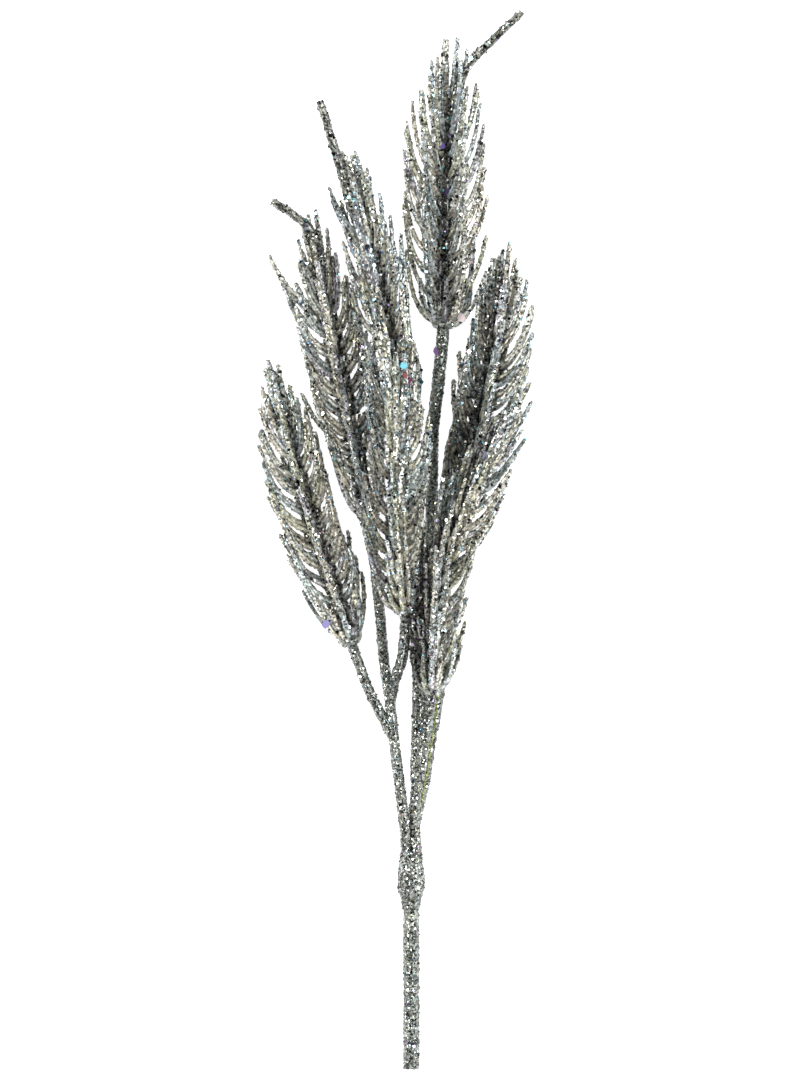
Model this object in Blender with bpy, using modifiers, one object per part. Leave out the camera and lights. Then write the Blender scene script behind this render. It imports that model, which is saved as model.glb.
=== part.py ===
"""A cut spray of artificial wheat, laid down on a surface, all at its real size.

Seven ears stand on three forked branches. A collar holds the branches on one main stem.
Metres, +Z up. +Y runs from the cut end of the main stem to the tips of the ears.
Lengths below are in millimetres and are turned into metres where the shapes are made.
"""

import math
import random

import bmesh
import bpy
from mathutils import Matrix, Vector

MM = 0.001
GAP = 0.3

# Curves are drawn with points about this far apart, and holes start this far outside.
PATH_STEP = 3.0
STEM_STEP = 9.0
CUT_PAST = 6.0
HOLE_SIDES = 8

# The main stem runs from its cut end up into the collar, as high off the surface as the collar.
STEM_X = 5.5
STEM_Z = 4.75
STEM_SIDES = 12
STEM_RADIUS = 2.8
STEM_END_Y = -190.4
STEM_TENON_RADIUS = 2.2
STEM_TENON_LENGTH = 8.0

# A steel wire stiffens the main stem and shows at its cut end.
WIRE_RADIUS = 0.8
WIRE_LENGTH = 48.0
WIRE_SET_BACK = 0.1

# The collar is a turned knuckle over the stem's end and the roots of the branches.
# It has twelve sides, and the flat under its widest part rests on the surface.
COLLAR_Y = -132.5
COLLAR_SIDES = 12
COLLAR_PROFILE = [(0.0, 3.25), (3.0, 3.6), (6.5, 4.75), (11.0, 4.75), (15.0, 4.35), (20.5, 4.2)]
ROOT_RADIUS = 1.2
ROOT_CIRCLE = 2.05
ROOT_DEPTH = 7.0
ROOT_ANGLES = {"branch_left": 150, "branch_middle": 30, "branch_right": 270}

# Awns are the long bristles of an ear. They stand in whorls of six round its core.
AWNS_PER_WHORL = 6
BLADE_AT = 0.42
AWN_STEPS = (0.0, BLADE_AT, 1.0)
AWN_ROOT_RADIUS = 0.9
AWN_ROOT_WIDTH = 0.9
AWN_BLADE_WIDTH = 3.4
AWN_TIP_WIDTH = 1.3
AWN_ROOT_THICKNESS = 1.2
AWN_BLADE_THICKNESS = 1.7
AWN_TIP_THICKNESS = 1.2
FIRST_WHORL = 1.5

# An awn leaves the core outward, then bends to lie along the ear. It gains this share of
# its reach in the early curve, and the rest evenly. The lift is how soon it turns upward.
EARLY_SHARE = 0.64
EARLY_POWER = 2.4
LIFT = 0.35
FIRST_LIFT = 0.12

# No two awns are alike: degrees of turn each way, and shares of the full rise and reach.
TURN_SPREAD = 6.0
RISE_SPREAD = (0.88, 1.04)
REACH_SPREAD = (0.93, 1.05)

# The top whorls close round the tip, from this share of the whorls on.
CLOSING_START = 0.6
CLOSING_POWER = 1.3
CLOSED_SHARE = 0.25

# Ears press against each other: an awn is drawn back in small steps until it is clear.
NEIGHBOUR_RANGE = 4.0
PULL_STEPS = 24
PULL_BACK = 0.94
WALL_GIVE = 0.1

# The core of an ear carries the awns. Its wide base is a cup with a socket for the stem.
CORE_RADIUS = 2.5
CORE_END = 4.0
CORE_TURN = 10.0
CUP_RADIUS = 4.6
CUP_AT = 3.6
CUP_END = 8.0
NECK_RADIUS = 3.0
RING_EVERY = 3
SPIKE_ROOT_RADIUS = 1.6
SPIKE_TIP_RADIUS = 0.9
HUB_WALL = 1.1
SOCKET_DEPTH = 3.5

# Each ear: its axis from the base to the top, how far its awns reach out and along, the way
# it is turned, the radius of its stem and, where the core's end shows, the bare spike.
EARS = {
    "ear_far_left": {
        "axis": [(-15.8, -37.4, 10.5), (-26.0, -6.0, 10.4), (-35.2, 24.0, 10.2), (-45.4, 64.4, 10.0)],
        "reach": 11.2, "rise": 22.0, "whorls": 12, "turn": 24, "stem": 1.8, "seed": 3,
    },
    "ear_left": {
        "axis": [(-9.7, 7.6, 10.5), (-15.0, 35.0, 10.4), (-22.4, 70.0, 10.6), (-31.5, 117.0, 11.5)],
        "reach": 11.6, "rise": 23.0, "whorls": 12, "turn": 34, "stem": 1.8, "seed": 11,
        "spike": [(-29.8, 109.5, 14.0), (-36.5, 117.0, 16.0), (-44.6, 122.0, 17.0)],
    },
    "ear_lower_centre": {
        "axis": [(3.2, -25.6, 20.0), (0.2, 0.0, 29.0), (0.2, 32.8, 38.0), (-7.0, 77.0, 43.0)],
        "reach": 11.4, "rise": 22.0, "whorls": 12, "turn": 30, "stem": 1.9, "seed": 23,
    },
    "ear_upper_centre": {
        "axis": [(3.2, 32.8, 18.0), (-0.8, 61.6, 21.0), (-6.4, 95.0, 21.0), (-17.0, 139.0, 20.0)],
        "reach": 11.0, "rise": 22.0, "whorls": 12, "turn": 26, "stem": 1.9, "seed": 31,
        "spike": [(-15.2, 118.0, 25.0), (-19.2, 131.5, 27.0), (-23.2, 144.4, 28.0), (-27.2, 157.4, 29.0)],
    },
    "ear_top_right": {
        "axis": [(16.9, 76.7, 13.8), (17.3, 104.8, 13.4), (18.0, 141.0, 13.2), (21.0, 179.0, 13.2)],
        "reach": 14.4, "rise": 27.0, "whorls": 11, "turn": 30, "stem": 2.2, "seed": 47,
        "spike": [(24.4, 168.5, 17.0), (34.5, 179.6, 20.0), (45.2, 189.8, 21.0)],
    },
    "ear_lower_right": {
        "axis": [(12.6, -54.4, 14.0), (14.2, -24.0, 25.0), (21.8, 3.0, 32.0), (44.6, 50.0, 38.0)],
        "reach": 11.0, "rise": 22.0, "whorls": 12, "turn": 28, "stem": 1.9, "seed": 59,
        "wall": [(12.6, -30.0), (15.0, 30.0)],
    },
    "ear_upper_right": {
        "axis": [(19.1, 7.6, 11.8), (28.8, 36.0, 11.6), (35.9, 68.8, 11.4), (40.4, 106.6, 11.4)],
        "reach": 12.4, "rise": 25.0, "whorls": 11, "turn": 33, "stem": 2.1, "seed": 71,
        "wall": [(14.4, 7.0), (19.6, 50.0)],
    },
}

# Each branch: a trunk out of the collar, and the arms that leave it for the ears.
BRANCHES = {
    "branch_left": {
        "trunk": [(2.9, -101.0, 8.0), (1.1, -86.4, 8.4), (-0.7, -71.6, 8.4), (-2.2, -58.0, 8.4)],
        "arms": {
            "ear_far_left": [(-0.7, -71.6, 8.4), (-4.4, -64.4, 8.8), (-9.8, -53.6, 10.0)],
            "ear_left": [(-2.2, -58.0, 8.4), (-4.3, -43.0, 8.4), (-6.2, -22.0, 9.0)],
            "ear_lower_centre": [(-2.2, -58.0, 8.4), (-0.2, -49.3, 10.4), (2.3, -41.8, 13.4)],
        },
        "radius": 1.9,
    },
    "branch_middle": {
        "trunk": [(6.4, -101.0, 5.5), (7.7, -86.4, 7.0), (9.0, -70.0, 8.2)],
        "arms": {
            "ear_upper_centre": [(6.9, -86.4, 7.0), (7.2, -55.0, 8.0), (5.4, -29.0, 7.6), (4.6, 2.0, 9.6)],
            "ear_top_right": [
                (7.7, -86.4, 7.0), (9.8, -55.0, 8.0), (9.9, -28.4, 7.0), (12.4, -3.2, 6.0),
                (13.0, 22.0, 5.6), (13.3, 40.0, 6.6), (15.1, 56.0, 10.0),
            ],
            "ear_lower_right": [(8.4, -86.4, 7.0), (10.6, -72.0, 8.6)],
        },
        "radius": 2.0,
    },
    "branch_right": {
        "trunk": [(7.4, -101.0, 1.9), (10.6, -86.0, 2.2), (13.3, -68.0, 2.8)],
        "arms": {
            "ear_upper_right": [
                (13.3, -68.0, 2.8), (16.0, -50.0, 3.2), (17.6, -30.0, 4.6), (17.5, -12.0, 7.6),
            ],
        },
        "radius": 1.7,
    },
}


def remove_everything():
    for obj in list(bpy.data.objects):
        bpy.data.objects.remove(obj)


def new_collection(name):
    collection = bpy.data.collections.new(name)
    bpy.context.scene.collection.children.link(collection)
    return collection


def new_material(name, colour, roughness, metallic):
    material = bpy.data.materials.new(name)
    material.use_nodes = True
    shader = material.node_tree.nodes["Principled BSDF"]
    shader.inputs["Base Color"].default_value = (*colour, 1.0)
    shader.inputs["Roughness"].default_value = roughness
    shader.inputs["Metallic"].default_value = metallic
    return material


def mesh_object(name, bm, collection):
    """Write the working mesh to a new object."""
    mesh = bpy.data.meshes.new(name)
    bm.to_mesh(mesh)
    bm.free()
    obj = bpy.data.objects.new(name, mesh)
    collection.objects.link(obj)
    return obj


def smooth_path(points, step):
    """Points about a step apart on a smooth curve through the given points, in millimetres."""
    knots = [Vector(point) for point in points]
    before = knots[0] * 2 - knots[1]
    after = knots[-1] * 2 - knots[-2]
    knots = [before] + knots + [after]
    path = []
    for a, b, c, d in zip(knots, knots[1:], knots[2:], knots[3:]):
        count = max(1, round((c - b).length / step))
        for index in range(count):
            t = index / count
            linear = (c - a) * t
            square = (a * 2 - b * 5 + c * 4 - d) * t**2
            cubic = (b * 3 - a - c * 3 + d) * t**3
            path.append(b + (linear + square + cubic) / 2)
    path.append(knots[-2])
    return path


def direction_at(path, index):
    ahead = path[min(index + 1, len(path) - 1)]
    behind = path[max(index - 1, 0)]
    return (ahead - behind).normalized()


def nearest_on(path, point):
    """The point of a path that lies nearest to the given one."""
    best = None
    for start, end in zip(path, path[1:]):
        along = end - start
        share = (point - start).dot(along) / along.length_squared
        spot = start + along * min(max(share, 0.0), 1.0)
        if best is None or (point - spot).length < (point - best).length:
            best = spot
    return best


def tube(name, path, radii, collection, sides_level=2, turn=0.0):
    """A round bar along a path, as a mesh whose caps are welded on."""
    curve = bpy.data.curves.new(name, "CURVE")
    curve.dimensions = "3D"
    curve.twist_mode = "Z_UP"
    curve.bevel_depth = MM
    curve.bevel_resolution = sides_level
    curve.use_fill_caps = True
    spline = curve.splines.new("POLY")
    spline.points.add(len(path) - 1)
    for spot, point, radius in zip(spline.points, path, radii):
        spot.co = (*(point * MM), 1.0)
        spot.radius = radius
        spot.tilt = math.radians(turn)
    obj = bpy.data.objects.new(name, curve)
    collection.objects.link(obj)
    return meshed(obj, collection)


def meshed(curve_object, collection):
    """Turn a curve object into a mesh object of the same name."""
    bpy.context.view_layer.update()
    evaluated = curve_object.evaluated_get(bpy.context.evaluated_depsgraph_get())
    mesh = bpy.data.meshes.new_from_object(evaluated)
    bm = bmesh.new()
    bm.from_mesh(mesh)
    bmesh.ops.remove_doubles(bm, verts=bm.verts, dist=0.00001)
    bmesh.ops.recalc_face_normals(bm, faces=bm.faces)
    bm.to_mesh(mesh)
    bm.free()
    name = curve_object.name
    solid = bpy.data.objects.new(name, mesh)
    solid.matrix_world = curve_object.matrix_world
    bpy.data.objects.remove(curve_object)
    solid.name = name
    collection.objects.link(solid)
    return solid


def set_material(obj, material):
    obj.data.materials.clear()
    obj.data.materials.append(material)


def apply_modifiers(obj):
    bpy.context.view_layer.update()
    evaluated = obj.evaluated_get(bpy.context.evaluated_depsgraph_get())
    mesh = bpy.data.meshes.new_from_object(evaluated)
    obj.modifiers.clear()
    obj.data = mesh


def combine(obj, others, operation):
    """Join other solids to an object, or cut them from it, with one Boolean, then remove them."""
    group = bpy.data.collections.new(obj.name + "_pieces")
    for other in others:
        group.objects.link(other)
    boolean = obj.modifiers.new("combine", "BOOLEAN")
    boolean.operation = operation
    boolean.operand_type = "COLLECTION"
    boolean.collection = group
    boolean.solver = "MANIFOLD"
    apply_modifiers(obj)
    for other in others:
        bpy.data.objects.remove(other)
    bpy.data.collections.remove(group)


def round_bar(name, start, end, radius, sides, turn, collection):
    """A straight bar with flats, from one point to another, turned about its length."""
    along = end - start
    bm = bmesh.new()
    corner_radius = radius / math.cos(math.pi / sides)
    bmesh.ops.create_cone(
        bm, cap_ends=True, segments=sides, radius1=corner_radius * MM,
        radius2=corner_radius * MM, depth=along.length * MM,
    )
    spin = Matrix.Rotation(turn, 4, "Z")
    lean = along.to_track_quat("Z", "Y").to_matrix().to_4x4()
    place = Matrix.Translation((start + end) / 2 * MM)
    bm.transform(place @ lean @ spin)
    return mesh_object(name, bm, collection)


# The line up the middle of each ear.
EAR_AXES = {name: smooth_path(ear["axis"], PATH_STEP) for name, ear in EARS.items()}


def ear_direction(name):
    """The way an ear points at its base."""
    return direction_at(EAR_AXES[name], 0)


def root_start(name):
    """Where a branch's root ends inside the collar."""
    angle = math.radians(ROOT_ANGLES[name])
    top = COLLAR_Y + COLLAR_PROFILE[-1][0]
    across = Vector((math.cos(angle), 0.0, math.sin(angle))) * ROOT_CIRCLE
    return Vector((STEM_X, top - ROOT_DEPTH, STEM_Z)) + across


def trunk_path(name):
    """A branch's trunk, with a straight root in the collar."""
    start = root_start(name)
    straight = Vector((0.0, ROOT_DEPTH + 1.0, 0.0))
    return [start] + smooth_path([start + straight] + BRANCHES[name]["trunk"], STEM_STEP)


def arm_path(name, ear_name):
    """An arm from its trunk to an ear, with a straight end that stands in the ear's socket."""
    base = EAR_AXES[ear_name][0]
    along = ear_direction(ear_name)
    route = [Vector(point) for point in BRANCHES[name]["arms"][ear_name]]
    route.append(base - along * SOCKET_DEPTH)
    return smooth_path(route, STEM_STEP) + [base + along * (SOCKET_DEPTH - GAP)]


def stem_routes():
    """Every stretch of stem with its radius, which the awns keep clear of."""
    routes = []
    for name, branch in BRANCHES.items():
        routes.append((trunk_path(name), branch["radius"]))
        for ear_name in branch["arms"]:
            routes.append((arm_path(name, ear_name)[:-1], EARS[ear_name]["stem"]))
    return routes


def build_branch(name, material, collection):
    branch = BRANCHES[name]
    path = trunk_path(name)
    radii = [ROOT_RADIUS, ROOT_RADIUS] + [branch["radius"]] * (len(path) - 2)
    trunk = tube(name, path, radii, collection)
    arms = []
    for ear_name in branch["arms"]:
        path = arm_path(name, ear_name)
        arms.append(tube("arm", path, [EARS[ear_name]["stem"]] * len(path), collection))
    combine(trunk, arms, "UNION")
    set_material(trunk, material)


def awn_reach(ear, share):
    """How far out the awns of a whorl reach. The top whorls close round the tip."""
    closing = max(0.0, share - CLOSING_START) / (1.0 - CLOSING_START)
    return ear["reach"] * (1.0 - (1.0 - CLOSED_SHARE) * closing**CLOSING_POWER)


def awn_line(root, along, outward, reach, rise, lift):
    """The middle line of an awn, which bends from outward to almost along the ear."""
    line = []
    for share in AWN_STEPS:
        early = 1.0 - (1.0 - share) ** EARLY_POWER
        bend = EARLY_SHARE * early + (1.0 - EARLY_SHARE) * share
        out = AWN_ROOT_RADIUS + (reach - AWN_ROOT_RADIUS) * bend
        up = rise * (lift * share + (1.0 - lift) * share**2)
        line.append(root + outward * out + along * up)
    return line


def between(share, root, blade, tip):
    """A size along an awn: from the root's to the blade's, then to the tip's."""
    if share < BLADE_AT:
        return root + (blade - root) * share / BLADE_AT
    return blade + (tip - blade) * (share - BLADE_AT) / (1.0 - BLADE_AT)


def awn_width(share):
    return between(share, AWN_ROOT_WIDTH, AWN_BLADE_WIDTH, AWN_TIP_WIDTH)


def awn_thickness(share):
    return between(share, AWN_ROOT_THICKNESS, AWN_BLADE_THICKNESS, AWN_TIP_THICKNESS)


def clear_of_ears(name, point, margin):
    """Draw a point back towards its own ear where a neighbouring ear presses against it."""
    own = nearest_on(EAR_AXES[name], point)
    for other, axis in EAR_AXES.items():
        if other == name:
            continue
        theirs = nearest_on(axis, point)
        spread = (own - theirs).length
        if spread > EARS[name]["reach"] + EARS[other]["reach"] + NEIGHBOUR_RANGE:
            continue
        bias = EARS[name]["reach"] ** 2 - EARS[other]["reach"] ** 2
        for _ in range(PULL_STEPS):
            room = (point - theirs).length_squared - (point - own).length_squared + bias
            if room / (2.0 * spread) > margin:
                break
            point = own + (point - own) * PULL_BACK
    return point


def clear_of_stems(name, point, margin, routes):
    """Push a point off any stem that passes close to it."""
    for path, radius in routes:
        spot = nearest_on(path, point)
        off = point - spot
        needed = radius + margin
        if off.length < needed:
            point = spot + off.normalized() * needed
    return point


def behind_wall(name, point, margin):
    """Hold a point on the right of the line that an ear's left side is pressed flat against."""
    if "wall" not in EARS[name]:
        return point
    (x0, y0), (x1, y1) = EARS[name]["wall"]
    edge = x0 + (x1 - x0) * (point.y - y0) / (y1 - y0) + margin
    if point.x < edge:
        point = Vector((edge - (edge - point.x) * WALL_GIVE, point.y, point.z))
    return point


def place_awn(name, line, routes):
    """Bend an awn clear of its neighbours, the stems and the surface below."""
    placed = [line[0]]
    for point, share in zip(line[1:], AWN_STEPS[1:]):
        half = awn_width(share) / 2.0
        point = behind_wall(name, point, half)
        point = clear_of_ears(name, point, half + GAP)
        point = clear_of_stems(name, point, half + 2.0 * GAP, routes)
        point.z = max(point.z, awn_thickness(share) / 2.0)
        placed.append(point)
    return placed


def awn(line, side, collection):
    """A three-sided bristle, lofted along its middle line between sections that narrow."""
    bm = bmesh.new()
    rings = []
    for index, (point, share) in enumerate(zip(line, AWN_STEPS)):
        along = direction_at(line, index)
        across = (side - along * side.dot(along)).normalized()
        normal = along.cross(across)
        half = across * awn_width(share) / 2.0
        thickness = normal * awn_thickness(share)
        face = point + thickness / 3.0
        corners = (face + half, face - half, face - thickness)
        for corner in corners:
            corner.z = max(corner.z, 0.0)
        rings.append([bm.verts.new(corner * MM) for corner in corners])
    for lower, upper in zip(rings, rings[1:]):
        for index in range(3):
            following = (index + 1) % 3
            bm.faces.new((lower[index], lower[following], upper[following], upper[index]))
    bm.faces.new(rings[0])
    bm.faces.new(rings[-1])
    bmesh.ops.recalc_face_normals(bm, faces=bm.faces)
    return mesh_object("awn", bm, collection)


def whorl_places(name):
    """Where each whorl stands on the axis, with the axis' direction there."""
    ear = EARS[name]
    axis = EAR_AXES[name]
    lengths = [0.0]
    for start, end in zip(axis, axis[1:]):
        lengths.append(lengths[-1] + (end - start).length)
    spacing = (lengths[-1] - FIRST_WHORL - ear["rise"]) / (ear["whorls"] - 1)
    for number in range(ear["whorls"]):
        wanted = FIRST_WHORL + spacing * number
        index = max(i for i, length in enumerate(lengths[:-1]) if length <= wanted)
        step = (wanted - lengths[index]) / (lengths[index + 1] - lengths[index])
        yield axis[index].lerp(axis[index + 1], step), direction_at(axis, index)


def build_awns(name, routes, collection):
    ear = EARS[name]
    draw = random.Random(ear["seed"])
    places = list(whorl_places(name))
    awns = []
    for number, (root, along) in enumerate(places):
        front = (Vector((0.0, 0.0, 1.0)) - along * along.z).normalized()
        beside = front.cross(along)
        reach = awn_reach(ear, number / (len(places) - 1))
        lift = FIRST_LIFT if number == 0 else LIFT
        for step in range(AWNS_PER_WHORL):
            turn = ear["turn"] + 360 / AWNS_PER_WHORL * step
            angle = math.radians(turn + draw.uniform(-TURN_SPREAD, TURN_SPREAD))
            outward = front * math.cos(angle) + beside * math.sin(angle)
            side = beside * math.cos(angle) - front * math.sin(angle)
            rise = ear["rise"] * draw.uniform(*RISE_SPREAD)
            own_reach = reach * draw.uniform(*REACH_SPREAD)
            line = awn_line(root, along, outward, own_reach, rise, lift)
            awns.append(awn(place_awn(name, line, routes), side, collection))
    return awns


def core_line(name):
    """The core's points and radii: a cup at the base, then a slim bar up to the last whorl."""
    base = EAR_AXES[name][0]
    along = ear_direction(name)
    path = [base, base + along * CUP_AT, base + along * CUP_END]
    radii = [EARS[name]["stem"] + GAP + HUB_WALL, CUP_RADIUS, NECK_RADIUS]
    places = list(whorl_places(name))
    path += [root for root, _ in places[RING_EVERY:-1:RING_EVERY]]
    last, along_last = places[-1]
    path.append(last + along_last * CORE_END)
    return path, radii + [CORE_RADIUS] * (len(path) - len(radii))


def spike_tube(name, collection):
    """The bare end of the stem, which leaves the core below the last whorl and tapers."""
    places = list(whorl_places(name))
    path = smooth_path([places[-2][0]] + EARS[name]["spike"], STEM_STEP)
    taper = (SPIKE_TIP_RADIUS - SPIKE_ROOT_RADIUS) / (len(path) - 1)
    radii = [SPIKE_ROOT_RADIUS + taper * index for index in range(len(path))]
    return tube("spike", path, radii, collection, 1)


def build_ear(name, routes, material, collection):
    """A core with its awns fused on, and a socket for the stem in its base."""
    path, radii = core_line(name)
    ear = tube(name, path, radii, collection, 1, EARS[name]["turn"] + CORE_TURN)
    pieces = build_awns(name, routes, collection)
    if "spike" in EARS[name]:
        pieces.append(spike_tube(name, collection))
    combine(ear, pieces, "UNION")
    base = EAR_AXES[name][0]
    along = ear_direction(name)
    hole = EARS[name]["stem"] + GAP
    socket = round_bar(
        "socket", base - along * CUT_PAST, base + along * SOCKET_DEPTH, hole, HOLE_SIDES, 0.0, collection
    )
    combine(ear, [socket], "DIFFERENCE")
    set_material(ear, material)


def build_main_stem(material, collection):
    """The main stem, with a tenon for the collar and a bore for the wire."""
    start = Vector((STEM_X, STEM_END_Y, STEM_Z))
    shoulder = Vector((STEM_X, COLLAR_Y - GAP, STEM_Z))
    half_side = math.pi / STEM_SIDES
    stem = round_bar("main_stem", start, shoulder, STEM_RADIUS, STEM_SIDES, half_side, collection)
    tenon_start = shoulder - Vector((0.0, CUT_PAST, 0.0))
    tenon_end = shoulder + Vector((0.0, STEM_TENON_LENGTH, 0.0))
    tenon = round_bar("tenon", tenon_start, tenon_end, STEM_TENON_RADIUS, HOLE_SIDES, 0.0, collection)
    combine(stem, [tenon], "UNION")
    before = start - Vector((0.0, CUT_PAST, 0.0))
    bore_end = start + Vector((0.0, WIRE_SET_BACK + WIRE_LENGTH + GAP, 0.0))
    bore = round_bar("bore", before, bore_end, WIRE_RADIUS + GAP, HOLE_SIDES, 0.0, collection)
    combine(stem, [bore], "DIFFERENCE")
    set_material(stem, material)


def build_wire(material, collection):
    start = Vector((STEM_X, STEM_END_Y + WIRE_SET_BACK, STEM_Z))
    end = start + Vector((0.0, WIRE_LENGTH, 0.0))
    wire = round_bar("stem_wire", start, end, WIRE_RADIUS, HOLE_SIDES, 0.0, collection)
    set_material(wire, material)


def turned_collar(collection):
    """Half the collar's outline, turned about its length with a Screw."""
    bm = bmesh.new()
    corner = 1.0 / math.cos(math.pi / COLLAR_SIDES)
    outline = [(0.0, COLLAR_PROFILE[-1][0])]
    outline += [(radius * corner, along) for along, radius in reversed(COLLAR_PROFILE)]
    outline.append((0.0, COLLAR_PROFILE[0][0]))
    verts = [bm.verts.new((across * MM, 0.0, along * MM)) for across, along in outline]
    for upper, lower in zip(verts, verts[1:]):
        bm.edges.new((upper, lower))
    collar = mesh_object("collar", bm, collection)
    screw = collar.modifiers.new("turn", "SCREW")
    screw.steps = COLLAR_SIDES
    screw.render_steps = COLLAR_SIDES
    screw.use_merge_vertices = True
    screw.merge_threshold = 0.00001
    apply_modifiers(collar)
    half_side = Matrix.Rotation(math.pi / COLLAR_SIDES, 4, "Z")
    lay_down = Matrix.Rotation(-math.pi / 2.0, 4, "X")
    place = Matrix.Translation(Vector((STEM_X, COLLAR_Y, STEM_Z)) * MM)
    collar.data.transform(place @ lay_down @ half_side)
    return collar


def build_collar(material, collection):
    """The knuckle, with one hole for the tenon and three for the roots of the branches."""
    collar = turned_collar(collection)
    start = Vector((STEM_X, COLLAR_Y - CUT_PAST, STEM_Z))
    end = Vector((STEM_X, COLLAR_Y + STEM_TENON_LENGTH, STEM_Z))
    wide = STEM_TENON_RADIUS + GAP
    holes = [round_bar("hole", start, end, wide, HOLE_SIDES, 0.0, collection)]
    for name in BRANCHES:
        root = root_start(name)
        before = root - Vector((0.0, GAP, 0.0))
        past = root + Vector((0.0, ROOT_DEPTH + CUT_PAST, 0.0))
        narrow = ROOT_RADIUS + GAP
        holes.append(round_bar("hole", before, past, narrow, HOLE_SIDES, 0.0, collection))
    combine(collar, holes, "DIFFERENCE")
    set_material(collar, material)


def main():
    remove_everything()
    spray = new_collection("glittered_wheat_spray")
    glitter = new_material("silver_glitter", (0.42, 0.43, 0.42), 0.32, 0.85)
    steel = new_material("steel_wire", (0.35, 0.34, 0.33), 0.45, 1.0)
    build_main_stem(glitter, spray)
    build_wire(steel, spray)
    build_collar(glitter, spray)
    for name in BRANCHES:
        build_branch(name, glitter, spray)
    routes = stem_routes()
    for name in EARS:
        build_ear(name, routes, glitter, spray)


main()
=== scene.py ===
"""The looks of a spray of artificial wheat in silver glitter, laid down on a pale floor.

Seven ears of fine awns stand on forked stems, which a collar joins to one main stem.
Each has a moulded body with a rough coat, and a layer of loose glitter flakes on it.
The lists of places and sizes are in millimetres, and every mesh is written in metres.
"""

import math
import random

import bpy
import numpy as np
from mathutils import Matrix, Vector
from mathutils.bvhtree import BVHTree


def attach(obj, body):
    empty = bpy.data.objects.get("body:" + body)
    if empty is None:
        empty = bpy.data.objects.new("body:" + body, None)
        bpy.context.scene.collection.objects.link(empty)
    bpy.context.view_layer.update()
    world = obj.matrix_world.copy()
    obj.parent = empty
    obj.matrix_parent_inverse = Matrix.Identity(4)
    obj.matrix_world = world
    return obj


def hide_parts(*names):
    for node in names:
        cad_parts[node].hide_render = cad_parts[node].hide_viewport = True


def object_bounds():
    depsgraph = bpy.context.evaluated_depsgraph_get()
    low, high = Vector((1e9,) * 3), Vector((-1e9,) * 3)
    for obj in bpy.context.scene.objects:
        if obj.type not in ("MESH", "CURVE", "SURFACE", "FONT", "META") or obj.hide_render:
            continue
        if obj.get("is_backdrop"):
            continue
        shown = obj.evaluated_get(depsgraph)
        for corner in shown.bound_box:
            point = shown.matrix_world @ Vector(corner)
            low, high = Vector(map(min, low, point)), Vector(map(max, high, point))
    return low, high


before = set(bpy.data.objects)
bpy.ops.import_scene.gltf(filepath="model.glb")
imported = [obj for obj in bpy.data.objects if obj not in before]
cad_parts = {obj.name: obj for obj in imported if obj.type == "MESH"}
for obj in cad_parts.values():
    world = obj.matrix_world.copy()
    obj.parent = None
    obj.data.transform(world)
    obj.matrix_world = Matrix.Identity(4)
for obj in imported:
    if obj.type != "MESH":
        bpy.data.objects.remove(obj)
cad_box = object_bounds()

MM = 0.001
GAP = 0.3

# The camera looks straight down. One pixel of the photograph is this wide on the spray.
PIXEL = 0.36
IMAGE_HEIGHT = 1080
CAMERA_X = 3.24
CAMERA_Y = 0.36
CAMERA_HEIGHT = 3000.0
MIDDLE_Z = 12.0
SENSOR = 36.0

# The main stem and the collar at its end.
STEM_X = 5.5
STEM_Z = 4.75
STEM_RADIUS = 2.8
STEM_END_Y = -190.4
TENON = 2.0
BORE_RADIUS = 1.1
BORE_DEPTH = 6.0
COLLAR_Y = -132.5
COLLAR_PROFILE = [(0.0, 3.1), (3.0, 3.5), (7.5, 4.75), (11.5, 4.7), (20.5, 3.8)]
ROOT_RADIUS = 1.85
ROOT_CIRCLE = 2.05
ROOT_DEPTH = 7.0
ROOT_LEAD = 1.0
ROOT_ANGLES = {"branch_left": 150, "branch_middle": 30, "branch_right": 270}

# Awns stand in whorls of six. Sizes along an awn are given at these shares of its length.
AWNS_PER_WHORL = 6
AWN_SHARES = [0.0, 0.08, 0.17, 0.27, 0.37, 0.47, 0.58, 0.69, 0.8, 0.9, 0.97, 1.0]
AWN_WIDTHS = [(0.0, 1.2), (0.2, 2.3), (0.38, 2.3), (0.6, 1.8), (0.85, 1.6), (0.97, 1.4), (1.0, 0.9)]
AWN_DEPTHS = [(0.0, 1.3), (0.16, 2.3), (0.34, 2.0), (0.52, 1.6), (0.85, 1.55), (0.97, 1.3), (1.0, 0.8)]
HUSK_SHARES = [0.0, 0.25, 0.5, 0.75, 0.93, 1.0]

# A mark is the coat's tone and its bareness. Little glitter gets to the core, whose tone is
# painted shade, and the blades of the awns are nearly bare, with painted highlights along their
# ridges and painted shade in their furrows.
OPEN_MARK = (0.66, 0.69, 0.68, 0.0)
# Painted shade on the lower side of each section of a stem or core, and a little painted light on top.
PAINTED_SHADE_BY_HEIGHT = [(-1.0, 0.35), (0.0, 0.5), (0.7, 1.0), (1.0, 1.05)]
# The core's tone is painted shade.
CORE_PAINTED_SHADE_MARK = (0.22, 0.21, 0.21, 0.2)
# Painted shade at the roots of the awns, on the husks and, a little, on the scales.
AWN_PAINTED_SHADE = [(0.0, 0.26), (0.16, 0.84), (0.35, 1.17), (1.0, 1.17)]
HUSK_PAINTED_SHADE = [(0.0, 0.2), (1.0, 0.7)]
# Painted shade on the back of each ear and on one of its sides.
BACK_PAINTED_SHADE = 0.8
PAINTED_SHADE_WIDTH = 34.0
SCALE_PAINTED_SHADE = [(0.0, 0.9), (1.0, 1.0)]
AWN_BARENESS = [(0.0, 0.3), (0.14, 0.95), (0.45, 0.85), (0.7, 0.4), (1.0, 0.2)]
HUSK_BARENESS = [(0.0, 0.1), (1.0, 0.1)]
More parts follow.
